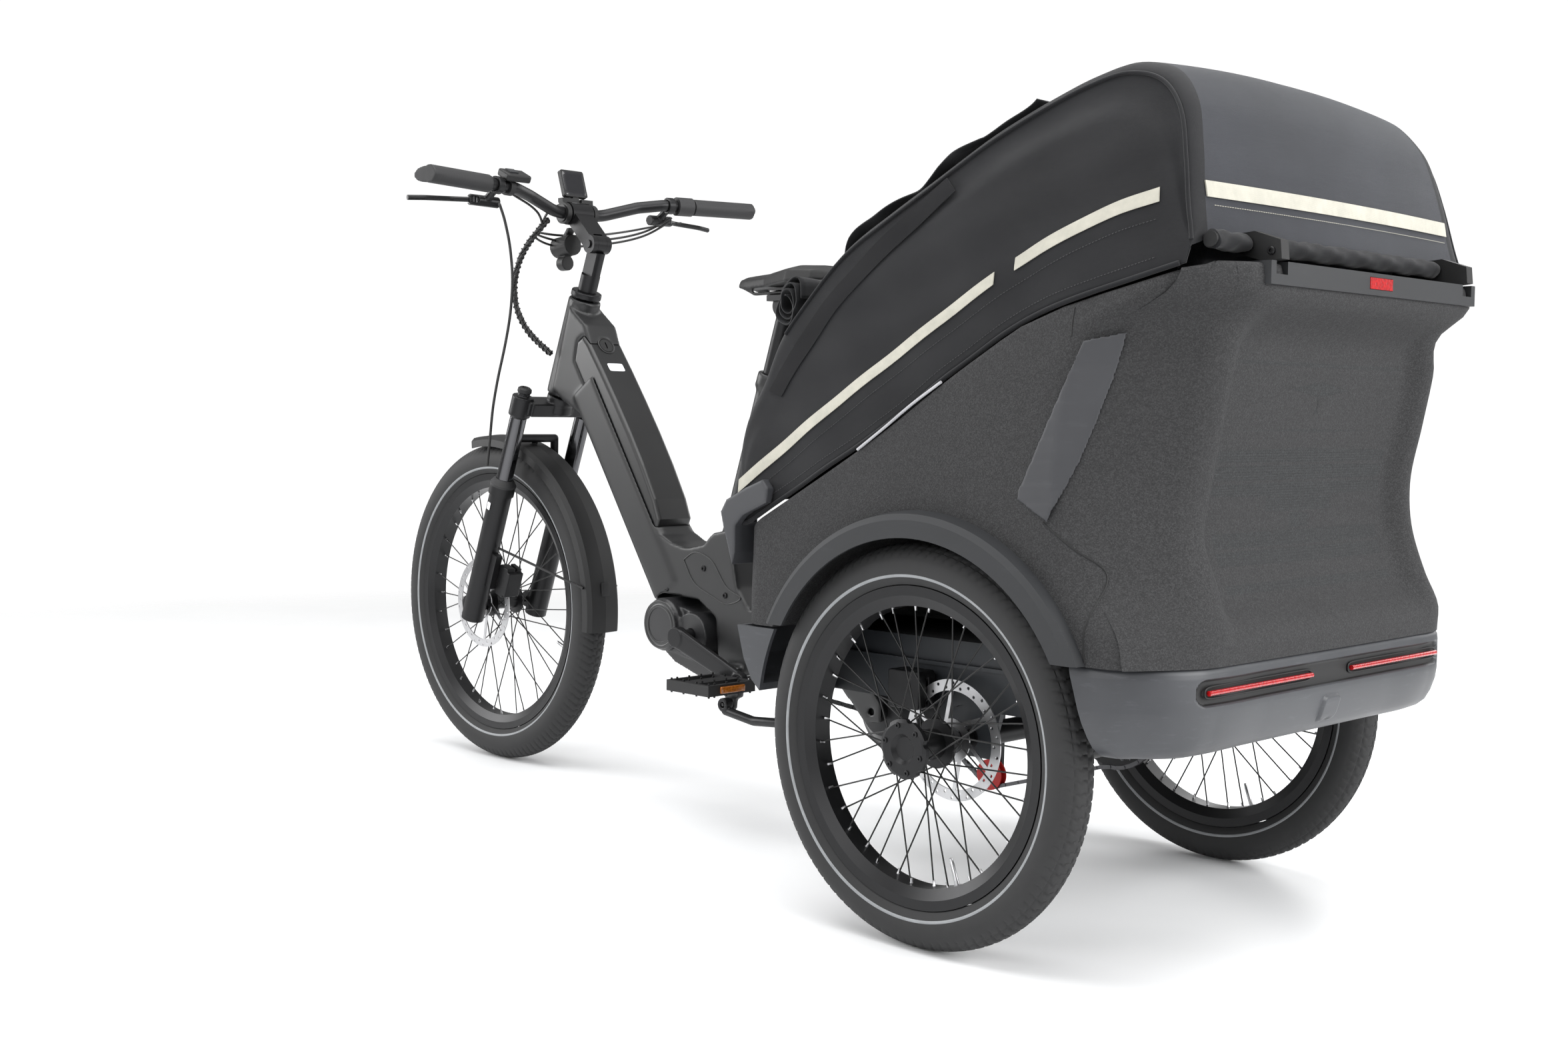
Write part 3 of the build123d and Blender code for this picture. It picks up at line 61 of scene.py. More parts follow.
# ------------------------------------------------------------------ material helpers
class Tree:
    """Small helper round a material's node tree; textures use object coordinates in metres."""

    def __init__(self, name):
        self.mat = bpy.data.materials.new(name)
        self.mat.use_nodes = True
        self.nodes = self.mat.node_tree.nodes
        self.links = self.mat.node_tree.links
        self.nodes.clear()
        self.bsdf = self.nodes.new("ShaderNodeBsdfPrincipled")
        out = self.nodes.new("ShaderNodeOutputMaterial")
        self.links.new(self.bsdf.outputs[0], out.inputs[0])
        self.coord = self.nodes.new("ShaderNodeTexCoord").outputs["Object"]

    def link(self, a, b):
        self.links.new(a, b)

    def mapped(self, scale=(1, 1, 1), rotation=(0, 0, 0)):
        m = self.nodes.new("ShaderNodeMapping")
        m.inputs["Scale"].default_value = scale
        m.inputs["Rotation"].default_value = rotation
        self.link(self.coord, m.inputs["Vector"])
        return m.outputs[0]

    def noise(self, scale, detail=3.0, rough=0.6, vector=None):
        n = self.nodes.new("ShaderNodeTexNoise")
        n.inputs["Scale"].default_value = scale
        n.inputs["Detail"].default_value = detail
        n.inputs["Roughness"].default_value = rough
        self.link(vector or self.coord, n.inputs["Vector"])
        return n.outputs["Fac"]

    def voronoi(self, scale, out="Distance"):
        n = self.nodes.new("ShaderNodeTexVoronoi")
        n.inputs["Scale"].default_value = scale
        self.link(self.coord, n.inputs["Vector"])
        return n.outputs[out]

    def wave(self, scale, direction="X", vector=None):
        n = self.nodes.new("ShaderNodeTexWave")
        n.bands_direction = direction
        n.inputs["Scale"].default_value = scale
        n.inputs["Distortion"].default_value = 0.0
        self.link(vector or self.coord, n.inputs["Vector"])
        return n.outputs["Fac"]

    def math(self, op, a, b, clamp=False):
        n = self.nodes.new("ShaderNodeMath")
        n.operation = op
        n.use_clamp = clamp
        for i, v in enumerate((a, b)):
            if isinstance(v, (int, float)):
                n.inputs[i].default_value = v
            else:
                self.link(v, n.inputs[i])
        return n.outputs[0]

    def ramp(self, fac, stops):
        n = self.nodes.new("ShaderNodeValToRGB")
        while len(n.color_ramp.elements) < len(stops):
            n.color_ramp.elements.new(0.5)
        for e, (pos, col) in zip(n.color_ramp.elements, stops):
            e.position = pos
            e.color = (*col, 1)
        self.link(fac, n.inputs[0])
        return n.outputs[0]

    def mix(self, fac, a, b):
        n = self.nodes.new("ShaderNodeMix")
        n.data_type = "RGBA"
        self.link(fac, n.inputs[0])
        for i, v in ((6, a), (7, b)):
            if isinstance(v, tuple):
                n.inputs[i].default_value = (*v, 1)
            else:
                self.link(v, n.inputs[i])
        return n.outputs[2]

    def bump(self, *heights, strength=0.3, distance=0.0005):
        total = heights[0]
        for h in heights[1:]:
            total = self.math("ADD", total, h)
        n = self.nodes.new("ShaderNodeBump")
        n.inputs["Strength"].default_value = strength
        n.inputs["Distance"].default_value = distance
        self.link(total, n.inputs["Height"])
        self.link(n.outputs[0], self.bsdf.inputs["Normal"])

    def colour(self, out):
        self.link(out, self.bsdf.inputs["Base Color"])

    def rough(self, fac, low, high):
        n = self.nodes.new("ShaderNodeMapRange")
        n.inputs["To Min"].default_value = low
        n.inputs["To Max"].default_value = high
        self.link(fac, n.inputs["Value"])
        self.link(n.outputs[0], self.bsdf.inputs["Roughness"])

    def set(self, **values):
        for key, value in values.items():
            self.bsdf.inputs[key.replace("_", " ")].default_value = value
        return self.mat


def tint(c, k):
    """Colour made lighter or darker."""
    return tuple(min(1.0, x * k) for x in c)


def paint(name, base, low=0.38, high=0.55, dust=0.25, grain=900, coat=0.0):
    """Matte or satin lacquer: fine grain, faint clouding and light dust."""
    t = Tree(name)
    cloud = t.noise(7, 4)
    fine = t.noise(grain, 2)
    dusty = t.math("MULTIPLY", t.noise(38, 5, 0.7), dust, clamp=True)
    col = t.ramp(cloud, [(0.3, tint(base, 0.85)), (0.7, tint(base, 1.15))])
    t.colour(t.mix(dusty, col, tint(base, 1.9)))
    t.rough(t.math("ADD", t.math("MULTIPLY", cloud, 0.6), t.math("MULTIPLY", fine, 0.4)), low, high)
    t.bump(fine, strength=0.10, distance=0.0002)
    return t.set(Coat_Weight=coat, Coat_Roughness=0.3)


def plastic(name, base, low=0.42, high=0.62, scuff=0.5):
    """Moulded plastic with a fine spark-eroded grain and light scuffs."""
    t = Tree(name)
    cell = t.voronoi(1600)
    cloud = t.noise(5, 5, 0.65)
    streak = t.noise(26, 6, 0.7, t.mapped((1, 1, 5)))
    mark = t.math("MULTIPLY", t.math("SUBTRACT", streak, 0.57, clamp=True), scuff * 3, clamp=True)
    col = t.ramp(cloud, [(0.3, tint(base, 0.86)), (0.72, tint(base, 1.14))])
    t.colour(t.mix(mark, col, tint(base, 2.0)))
    t.rough(cloud, low, high)
    t.bump(t.math("MULTIPLY", cell, 0.6), t.math("MULTIPLY", streak, 0.4), strength=0.22, distance=0.0003)
    return t.set(Specular_IOR_Level=0.4)


def foam(name, base, ribbed=False):
    """Moulded bead foam: fine dark beads with paler specks; the rear panel also has fine ribs."""
    t = Tree(name)
    bead = t.voronoi(760, "Color")
    edge = t.voronoi(760)
    grey = t.noise(1300, 3, 0.8)
    sep = t.nodes.new("ShaderNodeSeparateColor")
    t.link(bead, sep.inputs[0])
    fleck = t.math("ADD", t.math("MULTIPLY", sep.outputs[0], 0.45), t.math("MULTIPLY", grey, 0.55))
    col = t.ramp(fleck, [(0.25, tint(base, 0.62)), (0.52, tint(base, 1.0)), (0.8, tint(base, 1.75))])
    cloud = t.noise(5, 5, 0.65)
    t.colour(t.mix(t.math("MULTIPLY", cloud, 0.35), col, tint(base, 1.3)))
    t.rough(cloud, 0.75, 0.92)
    heights = [edge, t.math("MULTIPLY", grey, 0.4)]
    if ribbed:
        heights.append(t.math("MULTIPLY", t.wave(95, "Z"), 1.6))
    t.bump(*heights, strength=0.45, distance=0.0007)
    return t.set(Specular_IOR_Level=0.22)


def cloth(name, base, weave=620, low=0.68, high=0.86, sheen=0.25, lint=0.35, coarse=1.0):
    """Coated woven cloth: crossing threads, faint creases and lint."""
    t = Tree(name)
    warp = t.wave(weave, "X", t.mapped((1, 1, 1), (0, 0.55, 0.4)))
    weft = t.wave(weave, "Z", t.mapped((1, 1, 1), (0, 0.55, 0.4)))
    thread = t.math("MULTIPLY", t.math("ADD", warp, weft), 0.5)
    cloud = t.noise(6, 5, 0.6)
    crease = t.noise(14, 6, 0.75, t.mapped((1, 0.6, 2.2)))
    speck = t.math("SUBTRACT", t.noise(900, 2, 0.9), 0.6, clamp=True)
    specks = t.math("MULTIPLY", speck, lint * 4, clamp=True)
    col = t.ramp(cloud, [(0.3, tint(base, 0.8)), (0.7, tint(base, 1.2))])
    col = t.mix(t.math("MULTIPLY", thread, 0.35), col, tint(base, 1.7))
    t.colour(t.mix(specks, col, tint(base, 3.2)))
    t.rough(crease, low, high)
    t.bump(t.math("MULTIPLY", thread, 0.25 * coarse), t.math("MULTIPLY", crease, 1.6), strength=0.35,
           distance=0.0016)
    return t.set(Sheen_Weight=sheen, Sheen_Roughness=0.5, Specular_IOR_Level=0.2)


def metal(name, base, low=0.22, high=0.38, stretch=(1, 40, 1), metallic=1.0, grain=60):
    """Turned, brushed or anodised metal."""
    t = Tree(name)
    brush = t.noise(grain, 4, 0.7, t.mapped(stretch))
    cloud = t.noise(9, 4)
    t.colour(t.mix(t.math("MULTIPLY", cloud, 0.4), base, tint(base, 0.72)))
    t.rough(t.math("ADD", t.math("MULTIPLY", brush, 0.5), t.math("MULTIPLY", cloud, 0.5)), low, high)
    t.bump(brush, strength=0.08, distance=0.0002)
    return t.set(Metallic=metallic)


def rubber(name, base, low=0.6, high=0.85, dust=0.4, ribs=0.0):
    """Dull rubber with dust in its pores, and ribs on the grips."""
    t = Tree(name)
    fine = t.noise(700, 3, 0.7)
    cloud = t.noise(16, 5, 0.7)
    dusty = t.math("MULTIPLY", t.math("SUBTRACT", cloud, 0.42, clamp=True), dust * 3, clamp=True)
    t.colour(t.mix(dusty, base, tint(base, 2.4)))
    t.rough(cloud, low, high)
    heights = [t.math("MULTIPLY", fine, 0.5)]
    if ribs:
        heights.append(t.wave(ribs, "Y"))
    t.bump(*heights, strength=0.25, distance=0.0004)
    return t.set()


def lens(name, base):
    """Clear-coated lens with a moulded prism pattern."""
    t = Tree(name)
    cell = t.voronoi(260)
    t.colour(t.mix(cell, tint(base, 0.55), tint(base, 1.25)))
    t.rough(t.noise(30), 0.08, 0.2)
    t.bump(cell, strength=0.5, distance=0.0006)
    return t.set(Coat_Weight=0.6, Coat_Roughness=0.05)


def retro_strip(name, base):
    """Reflective tape: fine net over a pale backing."""
    t = Tree(name)
    net = t.math("MAXIMUM", t.wave(360, "X", t.mapped((1, 1, 1), (0, 0.6, 0))),
                 t.wave(360, "Z", t.mapped((1, 1, 1), (0, 0.6, 0))))
    cloud = t.noise(40, 5, 0.7)
    col = t.ramp(cloud, [(0.3, tint(base, 0.82)), (0.7, tint(base, 1.08))])
    t.colour(t.mix(t.math("MULTIPLY", net, 0.25), col, tint(base, 0.7)))
    t.rough(cloud, 0.35, 0.6)
    t.bump(net, t.math("MULTIPLY", cloud, 0.8), strength=0.25, distance=0.0004)
    return t.set()


M = {
    "paint": paint("frame_paint", (0.0085, 0.0087, 0.0092), 0.34, 0.48),
    "satin": paint("satin_cover", (0.0075, 0.0076, 0.0080), 0.28, 0.40, 0.15, 700, 0.12),
    "motor": paint("motor_case", (0.011, 0.011, 0.012), 0.35, 0.5, 0.3, 1200),
    "chassis": paint("chassis_paint", (0.014, 0.016, 0.019), 0.35, 0.55, 0.6, 500),
    "foam": foam("bead_foam", (0.031, 0.031, 0.032)),
    "foam_rear": foam("bead_foam_ribbed", (0.030, 0.031, 0.032), True),
    "grey": plastic("grey_plastic", (0.017, 0.018, 0.020), 0.48, 0.66),
    "insert": plastic("insert_plastic", (0.036, 0.037, 0.041), 0.42, 0.58, 0.3),
    "bumper": plastic("bumper_plastic", (0.046, 0.048, 0.053), 0.32, 0.50, 0.8),
    "black": plastic("black_plastic", (0.0070, 0.0070, 0.0074), 0.42, 0.62, 0.3),
    "hood": cloth("hood_cloth", (0.0062, 0.0064, 0.0076), sheen=0.10, lint=0.25),
    "hood_rear": cloth("hood_rear_cloth", (0.0175, 0.0190, 0.0240), 900, 0.6, 0.78, 0.12, 0.2),
    "net": cloth("window_net", (0.008, 0.008, 0.009), 260, 0.75, 0.95, 0.1, 0.2, 2.4),
    "velcro": cloth("hook_strip", (0.007, 0.007, 0.008), 420, 0.85, 0.98, 0.05, 0.9, 3.0),
    "seat": cloth("seat_cloth", (0.045, 0.046, 0.052), 420, 0.75, 0.9, 0.3, 0.5, 2.0),
    "strip": retro_strip("reflective_tape", (0.45, 0.435, 0.370)),
    "ring": retro_strip("tyre_ring", (0.26, 0.27, 0.28)),
    "red": lens("red_lens", (0.36, 0.004, 0.006)),
    "amber": lens("amber_lens", (0.30, 0.09, 0.008)),
    "tyre": rubber("tyre_rubber", (0.0125, 0.0125, 0.013), 0.62, 0.85, 0.5),
    "rubber": rubber("grip_rubber", (0.013, 0.013, 0.014), 0.5, 0.72, 0.25, 120),
    "hose": rubber("hose_skin", (0.009, 0.009, 0.009), 0.35, 0.5, 0.1),
    "rim": metal("rim_black", (0.013, 0.013, 0.014), 0.28, 0.42, (1, 1, 1), 0.5, 90),
    "alloy": metal("black_alloy", (0.015, 0.015, 0.016), 0.3, 0.45, (1, 1, 1), 0.6, 160),
    "stanchion": metal("dark_stanchion", (0.10, 0.10, 0.105), 0.08, 0.18, (1, 1, 30), 1.0, 40),
    "steel": metal("bright_steel", (0.55, 0.55, 0.56), 0.2, 0.4, (1, 30, 1), 1.0, 80),
    "chain": metal("chain_steel", (0.11, 0.11, 0.115), 0.35, 0.5, (1, 1, 1), 1.0, 200),
    "spoke": metal("black_spoke", (0.025, 0.025, 0.025), 0.25, 0.4, (1, 1, 1), 0.7, 200),
    "cord": cloth("braided_cord", (0.42, 0.42, 0.44), 1400, 0.45, 0.6, 0.2, 0.3, 2.5),
    "label": paint("plain_label", (0.72, 0.73, 0.76), 0.3, 0.4, 0.1, 500),
    "screen": paint("screen_glass", (0.005, 0.005, 0.007), 0.06, 0.12, 0.05, 300, 0.6),
    "red_plastic": plastic("red_plastic", (0.42, 0.012, 0.010), 0.35, 0.5, 0.3),
    "thread": cloth("thread", (0.03, 0.03, 0.032), 2000),
}


def give(node, key):
    """Put a finish on a CAD node that stays visible."""
    mesh = NODES[node].data
    mesh.materials.clear()
    mesh.materials.append(M[key])


# ------------------------------------------------------------------ mesh helpers
def linked(name, data):
    """New object in the scene for a mesh, curve, light or camera."""
    obj = bpy.data.objects.new(name, data)
    bpy.context.scene.collection.objects.link(obj)
    return obj


def piece(name, verts, faces, key, body, auto=None):
    """Mesh piece from points and faces with its finish and body; auto is the angle of sharp edges."""
    mesh = bpy.data.meshes.new(name)
    mesh.from_pydata([tuple(map(float, v)) for v in verts], [], [tuple(map(int, f)) for f in faces])
    mesh.update()
    obj = linked(name, mesh)
    mesh.materials.append(M[key])
    mesh.shade_smooth()
    if auto:
        mesh.set_sharp_from_angle(angle=math.radians(auto))
    if body:
        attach(obj, body)
    return obj


def grid_faces(rows, cols, close_rows=False, close_cols=False, start=0):
    """Quads over a grid of points; a closed way joins its last points to its first."""
    faces = []
    for i in range(rows if close_rows else rows - 1):
        for j in range(cols if close_cols else cols - 1):
            a, b = i * cols + j, i * cols + (j + 1) % cols
            c, d = ((i + 1) % rows) * cols + (j + 1) % cols, ((i + 1) % rows) * cols + j
            faces.append((start + a, start + b, start + c, start + d))
    return faces


def evaluated_mesh(obj):
    """New mesh of what an object looks like with its modifiers or bevel."""
    deps = bpy.context.evaluated_depsgraph_get()
    return bpy.data.meshes.new_from_object(obj.evaluated_get(deps))


def apply_mods(obj):
    """Make an object's modifiers final, and keep its finishes."""
    mesh = evaluated_mesh(obj)
    old = obj.data
    obj.modifiers.clear()
    obj.data = mesh
    if not mesh.materials and old.materials:
        for m in old.materials:
            mesh.materials.append(m)


def thicken(obj, thickness, offset):
    """Give a surface a thickness and make that final."""
    solid = obj.modifiers.new("thick", "SOLIDIFY")
    solid.thickness = thickness
    solid.offset = offset
    apply_mods(obj)


def flip_outward(obj):
    """Turn all faces of a piece to face out."""
    bm = bmesh.new()
    bm.from_mesh(obj.data)
    bmesh.ops.recalc_face_normals(bm, faces=bm.faces)
    bm.to_mesh(obj.data)
    bm.free()


def softened(node, key, voxel, rounds):
    """Cast or moulded copy of a CAD node: its hard joins are run together into smooth transitions."""
    source = NODES[node]
    obj = linked("soft_" + node, source.data.copy())
    remesh = obj.modifiers.new("remesh", "REMESH")
    remesh.mode = "VOXEL"
    remesh.voxel_size = voxel
    remesh.use_smooth_shade = True
    relax = obj.modifiers.new("relax", "SMOOTH")
    relax.factor = 0.5
    relax.iterations = rounds
    apply_mods(obj)
    obj.data.materials.clear()
    obj.data.materials.append(M[key])
    obj.data.shade_smooth()
    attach(obj, BODY_OF[node])
    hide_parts(node)


def curve_mesh(points, closed=False, steps=8, radius=0.0, sides=0):
    """Mesh of a smooth curve along a route: a bare line or, with a radius, a bent round bar."""
    curve = bpy.data.curves.new("route", "CURVE")
    curve.dimensions = "3D"
    spline = curve.splines.new("NURBS")
    spline.points.add(len(points) - 1)
    for p, co in zip(spline.points, points):
        p.co = (*co, 1)
    spline.order_u = 3
    spline.use_endpoint_u = not closed
    spline.use_cyclic_u = closed
    spline.resolution_u = steps
    curve.bevel_depth = radius
    curve.bevel_resolution = sides
    curve.use_fill_caps = True
    obj = linked("route", curve)
    mesh = evaluated_mesh(obj)
    bpy.data.objects.remove(obj)
    return mesh


def tube(name, points, radius, key, body, closed=False, sides=6):
    """Bent round bar along a route."""
    mesh = curve_mesh(points, closed, 8, radius, sides)
    mesh.name = name
    solid = linked(name, mesh)
    mesh.materials.clear()
    mesh.materials.append(M[key])
    mesh.shade_smooth()
    if body:
        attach(solid, body)
    return solid


def lathe_verts(centre, axis, profile, segments):
    """Points of a profile (along, radius) turned about an axis through centre."""
    axis = Vector(axis).normalized()
    side = axis.orthogonal().normalized()
    other = axis.cross(side)
    verts = []
    for a in range(segments):
        angle = 2 * math.pi * a / segments
        radial = side * math.cos(angle) + other * math.sin(angle)
        for along, radius in profile:
            verts.append(Vector(centre) + axis * along + radial * radius)
    return verts


def turned(name, places, profile, key, body, segments=24):
    """One mesh of equal turned parts at several (centre, axis) places."""
    verts, faces = [], []
    for centre, axis in places:
        start = len(verts)
        verts += lathe_verts(centre, axis, profile, segments)
        faces += grid_faces(segments, len(profile), close_rows=True, start=start)
    obj = piece(name, verts, faces, key, body, 35)
    bm = bmesh.new()
    bm.from_mesh(obj.data)
    bmesh.ops.remove_doubles(bm, verts=bm.verts, dist=1e-6)
    bmesh.ops.recalc_face_normals(bm, faces=bm.faces)
    bm.to_mesh(obj.data)
    bm.free()


def head_profile(radius, height):
    """Domed screw head with a socket."""
    return [(0, 0), (0, radius), (height * 0.7, radius), (height, radius * 0.8), (height, radius * 0.45),
            (height * 0.3, radius * 0.42), (height * 0.3, 0)]


def smooth_step(value, low, high):
    """0 below low, 1 above high, smooth between."""
    t = min(1.0, max(0.0, (value - low) / (high - low)))
    return t * t * (3 - 2 * t)


def smooth_table(xs, ys, value):
    """Smooth curve through measured stations: cubic pieces with central-difference slopes."""
    xs, ys = np.asarray(xs, float), np.asarray(ys, float)
    slope = np.gradient(ys, xs)
    value = np.clip(value, xs[0], xs[-1])
    i = np.clip(np.searchsorted(xs, value) - 1, 0, len(xs) - 2)
    h = xs[i + 1] - xs[i]
    t = (value - xs[i]) / h
    return ((2 * t**3 - 3 * t**2 + 1) * ys[i] + (t**3 - 2 * t**2 + t) * h * slope[i]
            + (-2 * t**3 + 3 * t**2) * ys[i + 1] + (t**3 - t**2) * h * slope[i + 1])


def run_lengths(line):
    """Length run along a line at each of its points."""
    return np.concatenate([[0], np.cumsum(np.linalg.norm(np.diff(line, axis=0), axis=1))])


def at_length(run, s, line):
    """Point of a line at a length run along it; s holds the lengths at its points."""
    return np.array([np.interp(run, s, line[:, j]) for j in range(line.shape[1])])


def spline_points(points, count):
    """Evenly spaced points on a smooth curve through 2-D or 3-D points."""
    pts = np.array(points, float)
    s = run_lengths(pts)
    out = np.linspace(0, s[-1], count)
    return np.stack([smooth_table(s, pts[:, k], out) for k in range(pts.shape[1])], axis=1), out / s[-1]


# ------------------------------------------------------------------ wheels
REAR_X = JOINT["wheel_rear_left_spin"]["pos_m"][0]
REAR_R = JOINT["wheel_rear_left_spin"]["pos_m"][2]
TRACK = JOINT["wheel_rear_left_spin"]["pos_m"][1]
FRONT_X = JOINT["wheel_front_spin"]["pos_m"][0]
FRONT_R = JOINT["wheel_front_spin"]["pos_m"][2]


def make_tyre(name, centre, radius, rim, width, body):
    """Balloon tyre with block tread cut into the crown, moulded rings on the sidewalls."""
    block_pitch, groove, lane_groove, edge_groove, tread_half = 0.0155, 0.0021, 0.0018, 0.0005, 0.86
    half = width / 2
    mid = (radius + rim) / 2 - 0.004
    blocks = int(round(2 * math.pi * radius / block_pitch))
    around = blocks * 6
    section = []
    low = math.asin((rim - mid + 0.001) / (radius - mid))
    angles = np.linspace(low, math.pi - low, 67)
    for a in angles:
        section.append((half * math.cos(a), mid + (radius - mid) * math.sin(a), a))
    verts = []
    cx, cy, cz = centre
    for i in range(around):
        turn = 2 * math.pi * i / around
        phase = (i % 6) / 6
        for v, r, a in section:
            cut = 0.0
            across = v / half
            if abs(across) < tread_half and 0.25 < a < math.pi - 0.25:
                lane = int((across + tread_half) / tread_half * 3.0)
                lane_pos = ((across + tread_half) / tread_half * 3.0) % 1.0
                shift = 0.33 if lane % 2 else 0.0
                local = (phase + shift + (0.0 if lane in (2, 3) else 0.35 * lane_pos)) % 1.0
                if local < 0.2:
                    cut = groove
                if abs(lane_pos - 0.04) < 0.07 and lane in (1, 3, 5):
                    cut = lane_groove
            elif tread_half <= abs(across) < 0.93:
                cut = edge_groove
            rr = r - cut * max(0.0, math.sin(a))
            vv = v * (1 - cut * 6)
            verts.append((cx + rr * math.cos(turn), cy + vv, cz + rr * math.sin(turn)))
    cols = len(section)
    inner = []
    seat = rim + 0.004
    for i in range(around):
        turn = 2 * math.pi * i / around
        for side in (-1, 1):
            inner.append((cx + seat * math.cos(turn), cy + side * half * 0.62, cz + seat * math.sin(turn)))
    faces = grid_faces(around, cols, close_rows=True)
    start = len(verts)
    for i in range(around):
        n = (i + 1) % around
        faces.append((start + 2 * i, start + 2 * n, start + 2 * n + 1, start + 2 * i + 1))
        faces.append((i * cols, start + 2 * i + 1, start + 2 * n + 1, n * cols))
        faces.append((i * cols + cols - 1, n * cols + cols - 1, start + 2 * n, start + 2 * i))
    tyre = piece("tyre_skin_" + name, verts + inner, faces, "tyre", body)
    flip_outward(tyre)
    tyre.data.set_sharp_from_angle(angle=math.radians(40))
    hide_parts("tyre_" + name)
    for side in (1, -1):
        ring_r = rim + (0.013 if radius < 0.3 else 0.012)
        rv = []
        for k in range(240):
            turn = 2 * math.pi * k / 240
            for dr in (-0.0021, -0.0012, 0.0012, 0.0021):
                r = ring_r + dr
                s = math.asin(min(1, max(-1, (r - mid) / (radius - mid))))
                v = half * math.cos(s) + (0.0005 if abs(dr) < 0.002 else -0.0002)
                rv.append((cx + r * math.cos(turn), cy + side * v, cz + r * math.sin(turn)))
        ring = piece(f"tyre_ring_{name}_{'l' if side > 0 else 'r'}", rv, grid_faces(240, 4, close_rows=True),
                     "ring", body)
        flip_outward(ring)


def make_wheel(name, centre, radius, rim, width, body, rotor_y, front=False):
    """Finishes of a wheel's CAD parts, its tyre, spoke nipples, valve and brake disc bolts."""
    make_tyre(name, centre, radius, rim, width, body)
    cx, cy, cz = centre
    give("rim_" + name, "rim")
    give("spokes_" + name, "spoke")
    give("hub_" + name, "alloy")
    give("rotor_" + name, "steel")
    offset = 4 if not front else 0
    places = []
    seat = rim - 0.0265
    for i in range(36):
        a = math.radians(10 * i + offset)
        side = 1 if i % 2 else -1
        direction = Vector((-math.cos(a), side * 0.10, -math.sin(a)))
        foot = Vector((cx + math.cos(a) * seat, cy + side * 0.0042, cz + math.sin(a) * seat))
        places.append((foot, direction))
    nipple = [(-0.001, 0), (-0.001, 0.0022), (0.0014, 0.0022), (0.002, 0.0018), (0.0078, 0.0016), (0.0078, 0)]
    turned("nipples_" + name, places, nipple, "steel", body, 8)
    a = math.radians(250 if not front else 200)
    valve = Vector((cx + math.cos(a) * (rim - 0.026), cy, cz + math.sin(a) * (rim - 0.026)))
    stem = [(0, 0), (0, 0.0055), (0.002, 0.0055), (0.002, 0.0031), (0.03, 0.0031), (0.031, 0.0026),
            (0.036, 0.0026), (0.037, 0)]
    turned("valve_" + name, [(valve, (-math.cos(a), 0, -math.sin(a)))], stem, "steel", body, 12)
    bolts = []
    out = 1 if rotor_y > cy else -1
    for i in range(6):
        b = math.radians(60 * i + 30)
        place = (cx + 0.022 * math.cos(b), rotor_y + out * 0.0009, cz + 0.022 * math.sin(b))
        bolts.append((place, (0, out, 0)))
    turned("rotor_bolts_" + name, bolts, head_profile(0.0044, 0.0028), "alloy", body, 12)


REAR_RIM, REAR_TYRE, REAR_ROTOR_Y = 0.210, 0.062, 0.290
FRONT_RIM, FRONT_TYRE, FRONT_ROTOR_Y = 0.258, 0.065, 0.0475
rear_left, rear_right = (REAR_X, TRACK, REAR_R), (REAR_X, -TRACK, REAR_R)
make_wheel("rear_left", rear_left, REAR_R, REAR_RIM, REAR_TYRE, "wheel_rear_left", REAR_ROTOR_Y)
make_wheel("rear_right", rear_right, REAR_R, REAR_RIM, REAR_TYRE, "wheel_rear_right", -REAR_ROTOR_Y)
make_wheel("front", (FRONT_X, 0, FRONT_R), FRONT_R, FRONT_RIM, FRONT_TYRE, "wheel_front", FRONT_ROTOR_Y, True)
for side, name in SIDES:
    caps = []
    for i in range(6):
        a = math.radians(60 * i + 15)
        y = side * (TRACK + 0.039)
        caps.append(((REAR_X + 0.031 * math.cos(a), y, REAR_R + 0.031 * math.sin(a)), (0, side, 0)))
    turned("hub_bolts_" + name, caps, head_profile(0.0036, 0.002), "alloy", "wheel_rear_" + name,
           12)


# ------------------------------------------------------------------ cargo tub
# top edge of the tub seen from the side, as (x, z)
RIM_LINE = [(-0.338, 0.533), (-0.398, 0.565), (-0.467, 0.602), (-0.587, 0.668), (-0.712, 0.746),
            (-0.827, 0.808), (-0.906, 0.831), (-1.003, 0.854), (-1.058, 0.867)]
# tub sections in millimetres: height, X and half width of the rear face, X and half width of the flank's end
TUB = np.array([
    (400, -1043, 290, -985, 382), (436, -1050, 283, -965, 382), (482, -1036, 274, -915, 380),
    (548, -1014, 275, -884, 377), (605, -1015, 266, -876, 372), (685, -1031, 266, -880, 366),
    (755, -1045, 266, -895, 359), (806, -1056, 256, -930, 352), (838, -1089, 264, -1010, 346),
    (872, -1087, 268, -1046, 340)]) / 1000
TUB_WALL = 0.024
TUB_BASE = 0.400
TUB_FLOOR = 0.426
WELL_R = 0.287
REAR_RECESS = 0.024


def rim_z(x):
    """Height of the tub's top edge at a place along it."""
    xs = [p[0] for p in RIM_LINE][::-1]
    zs = [p[1] for p in RIM_LINE][::-1]
    return float(smooth_table(xs, zs, x)) if x > xs[0] else zs[0] + 0.003


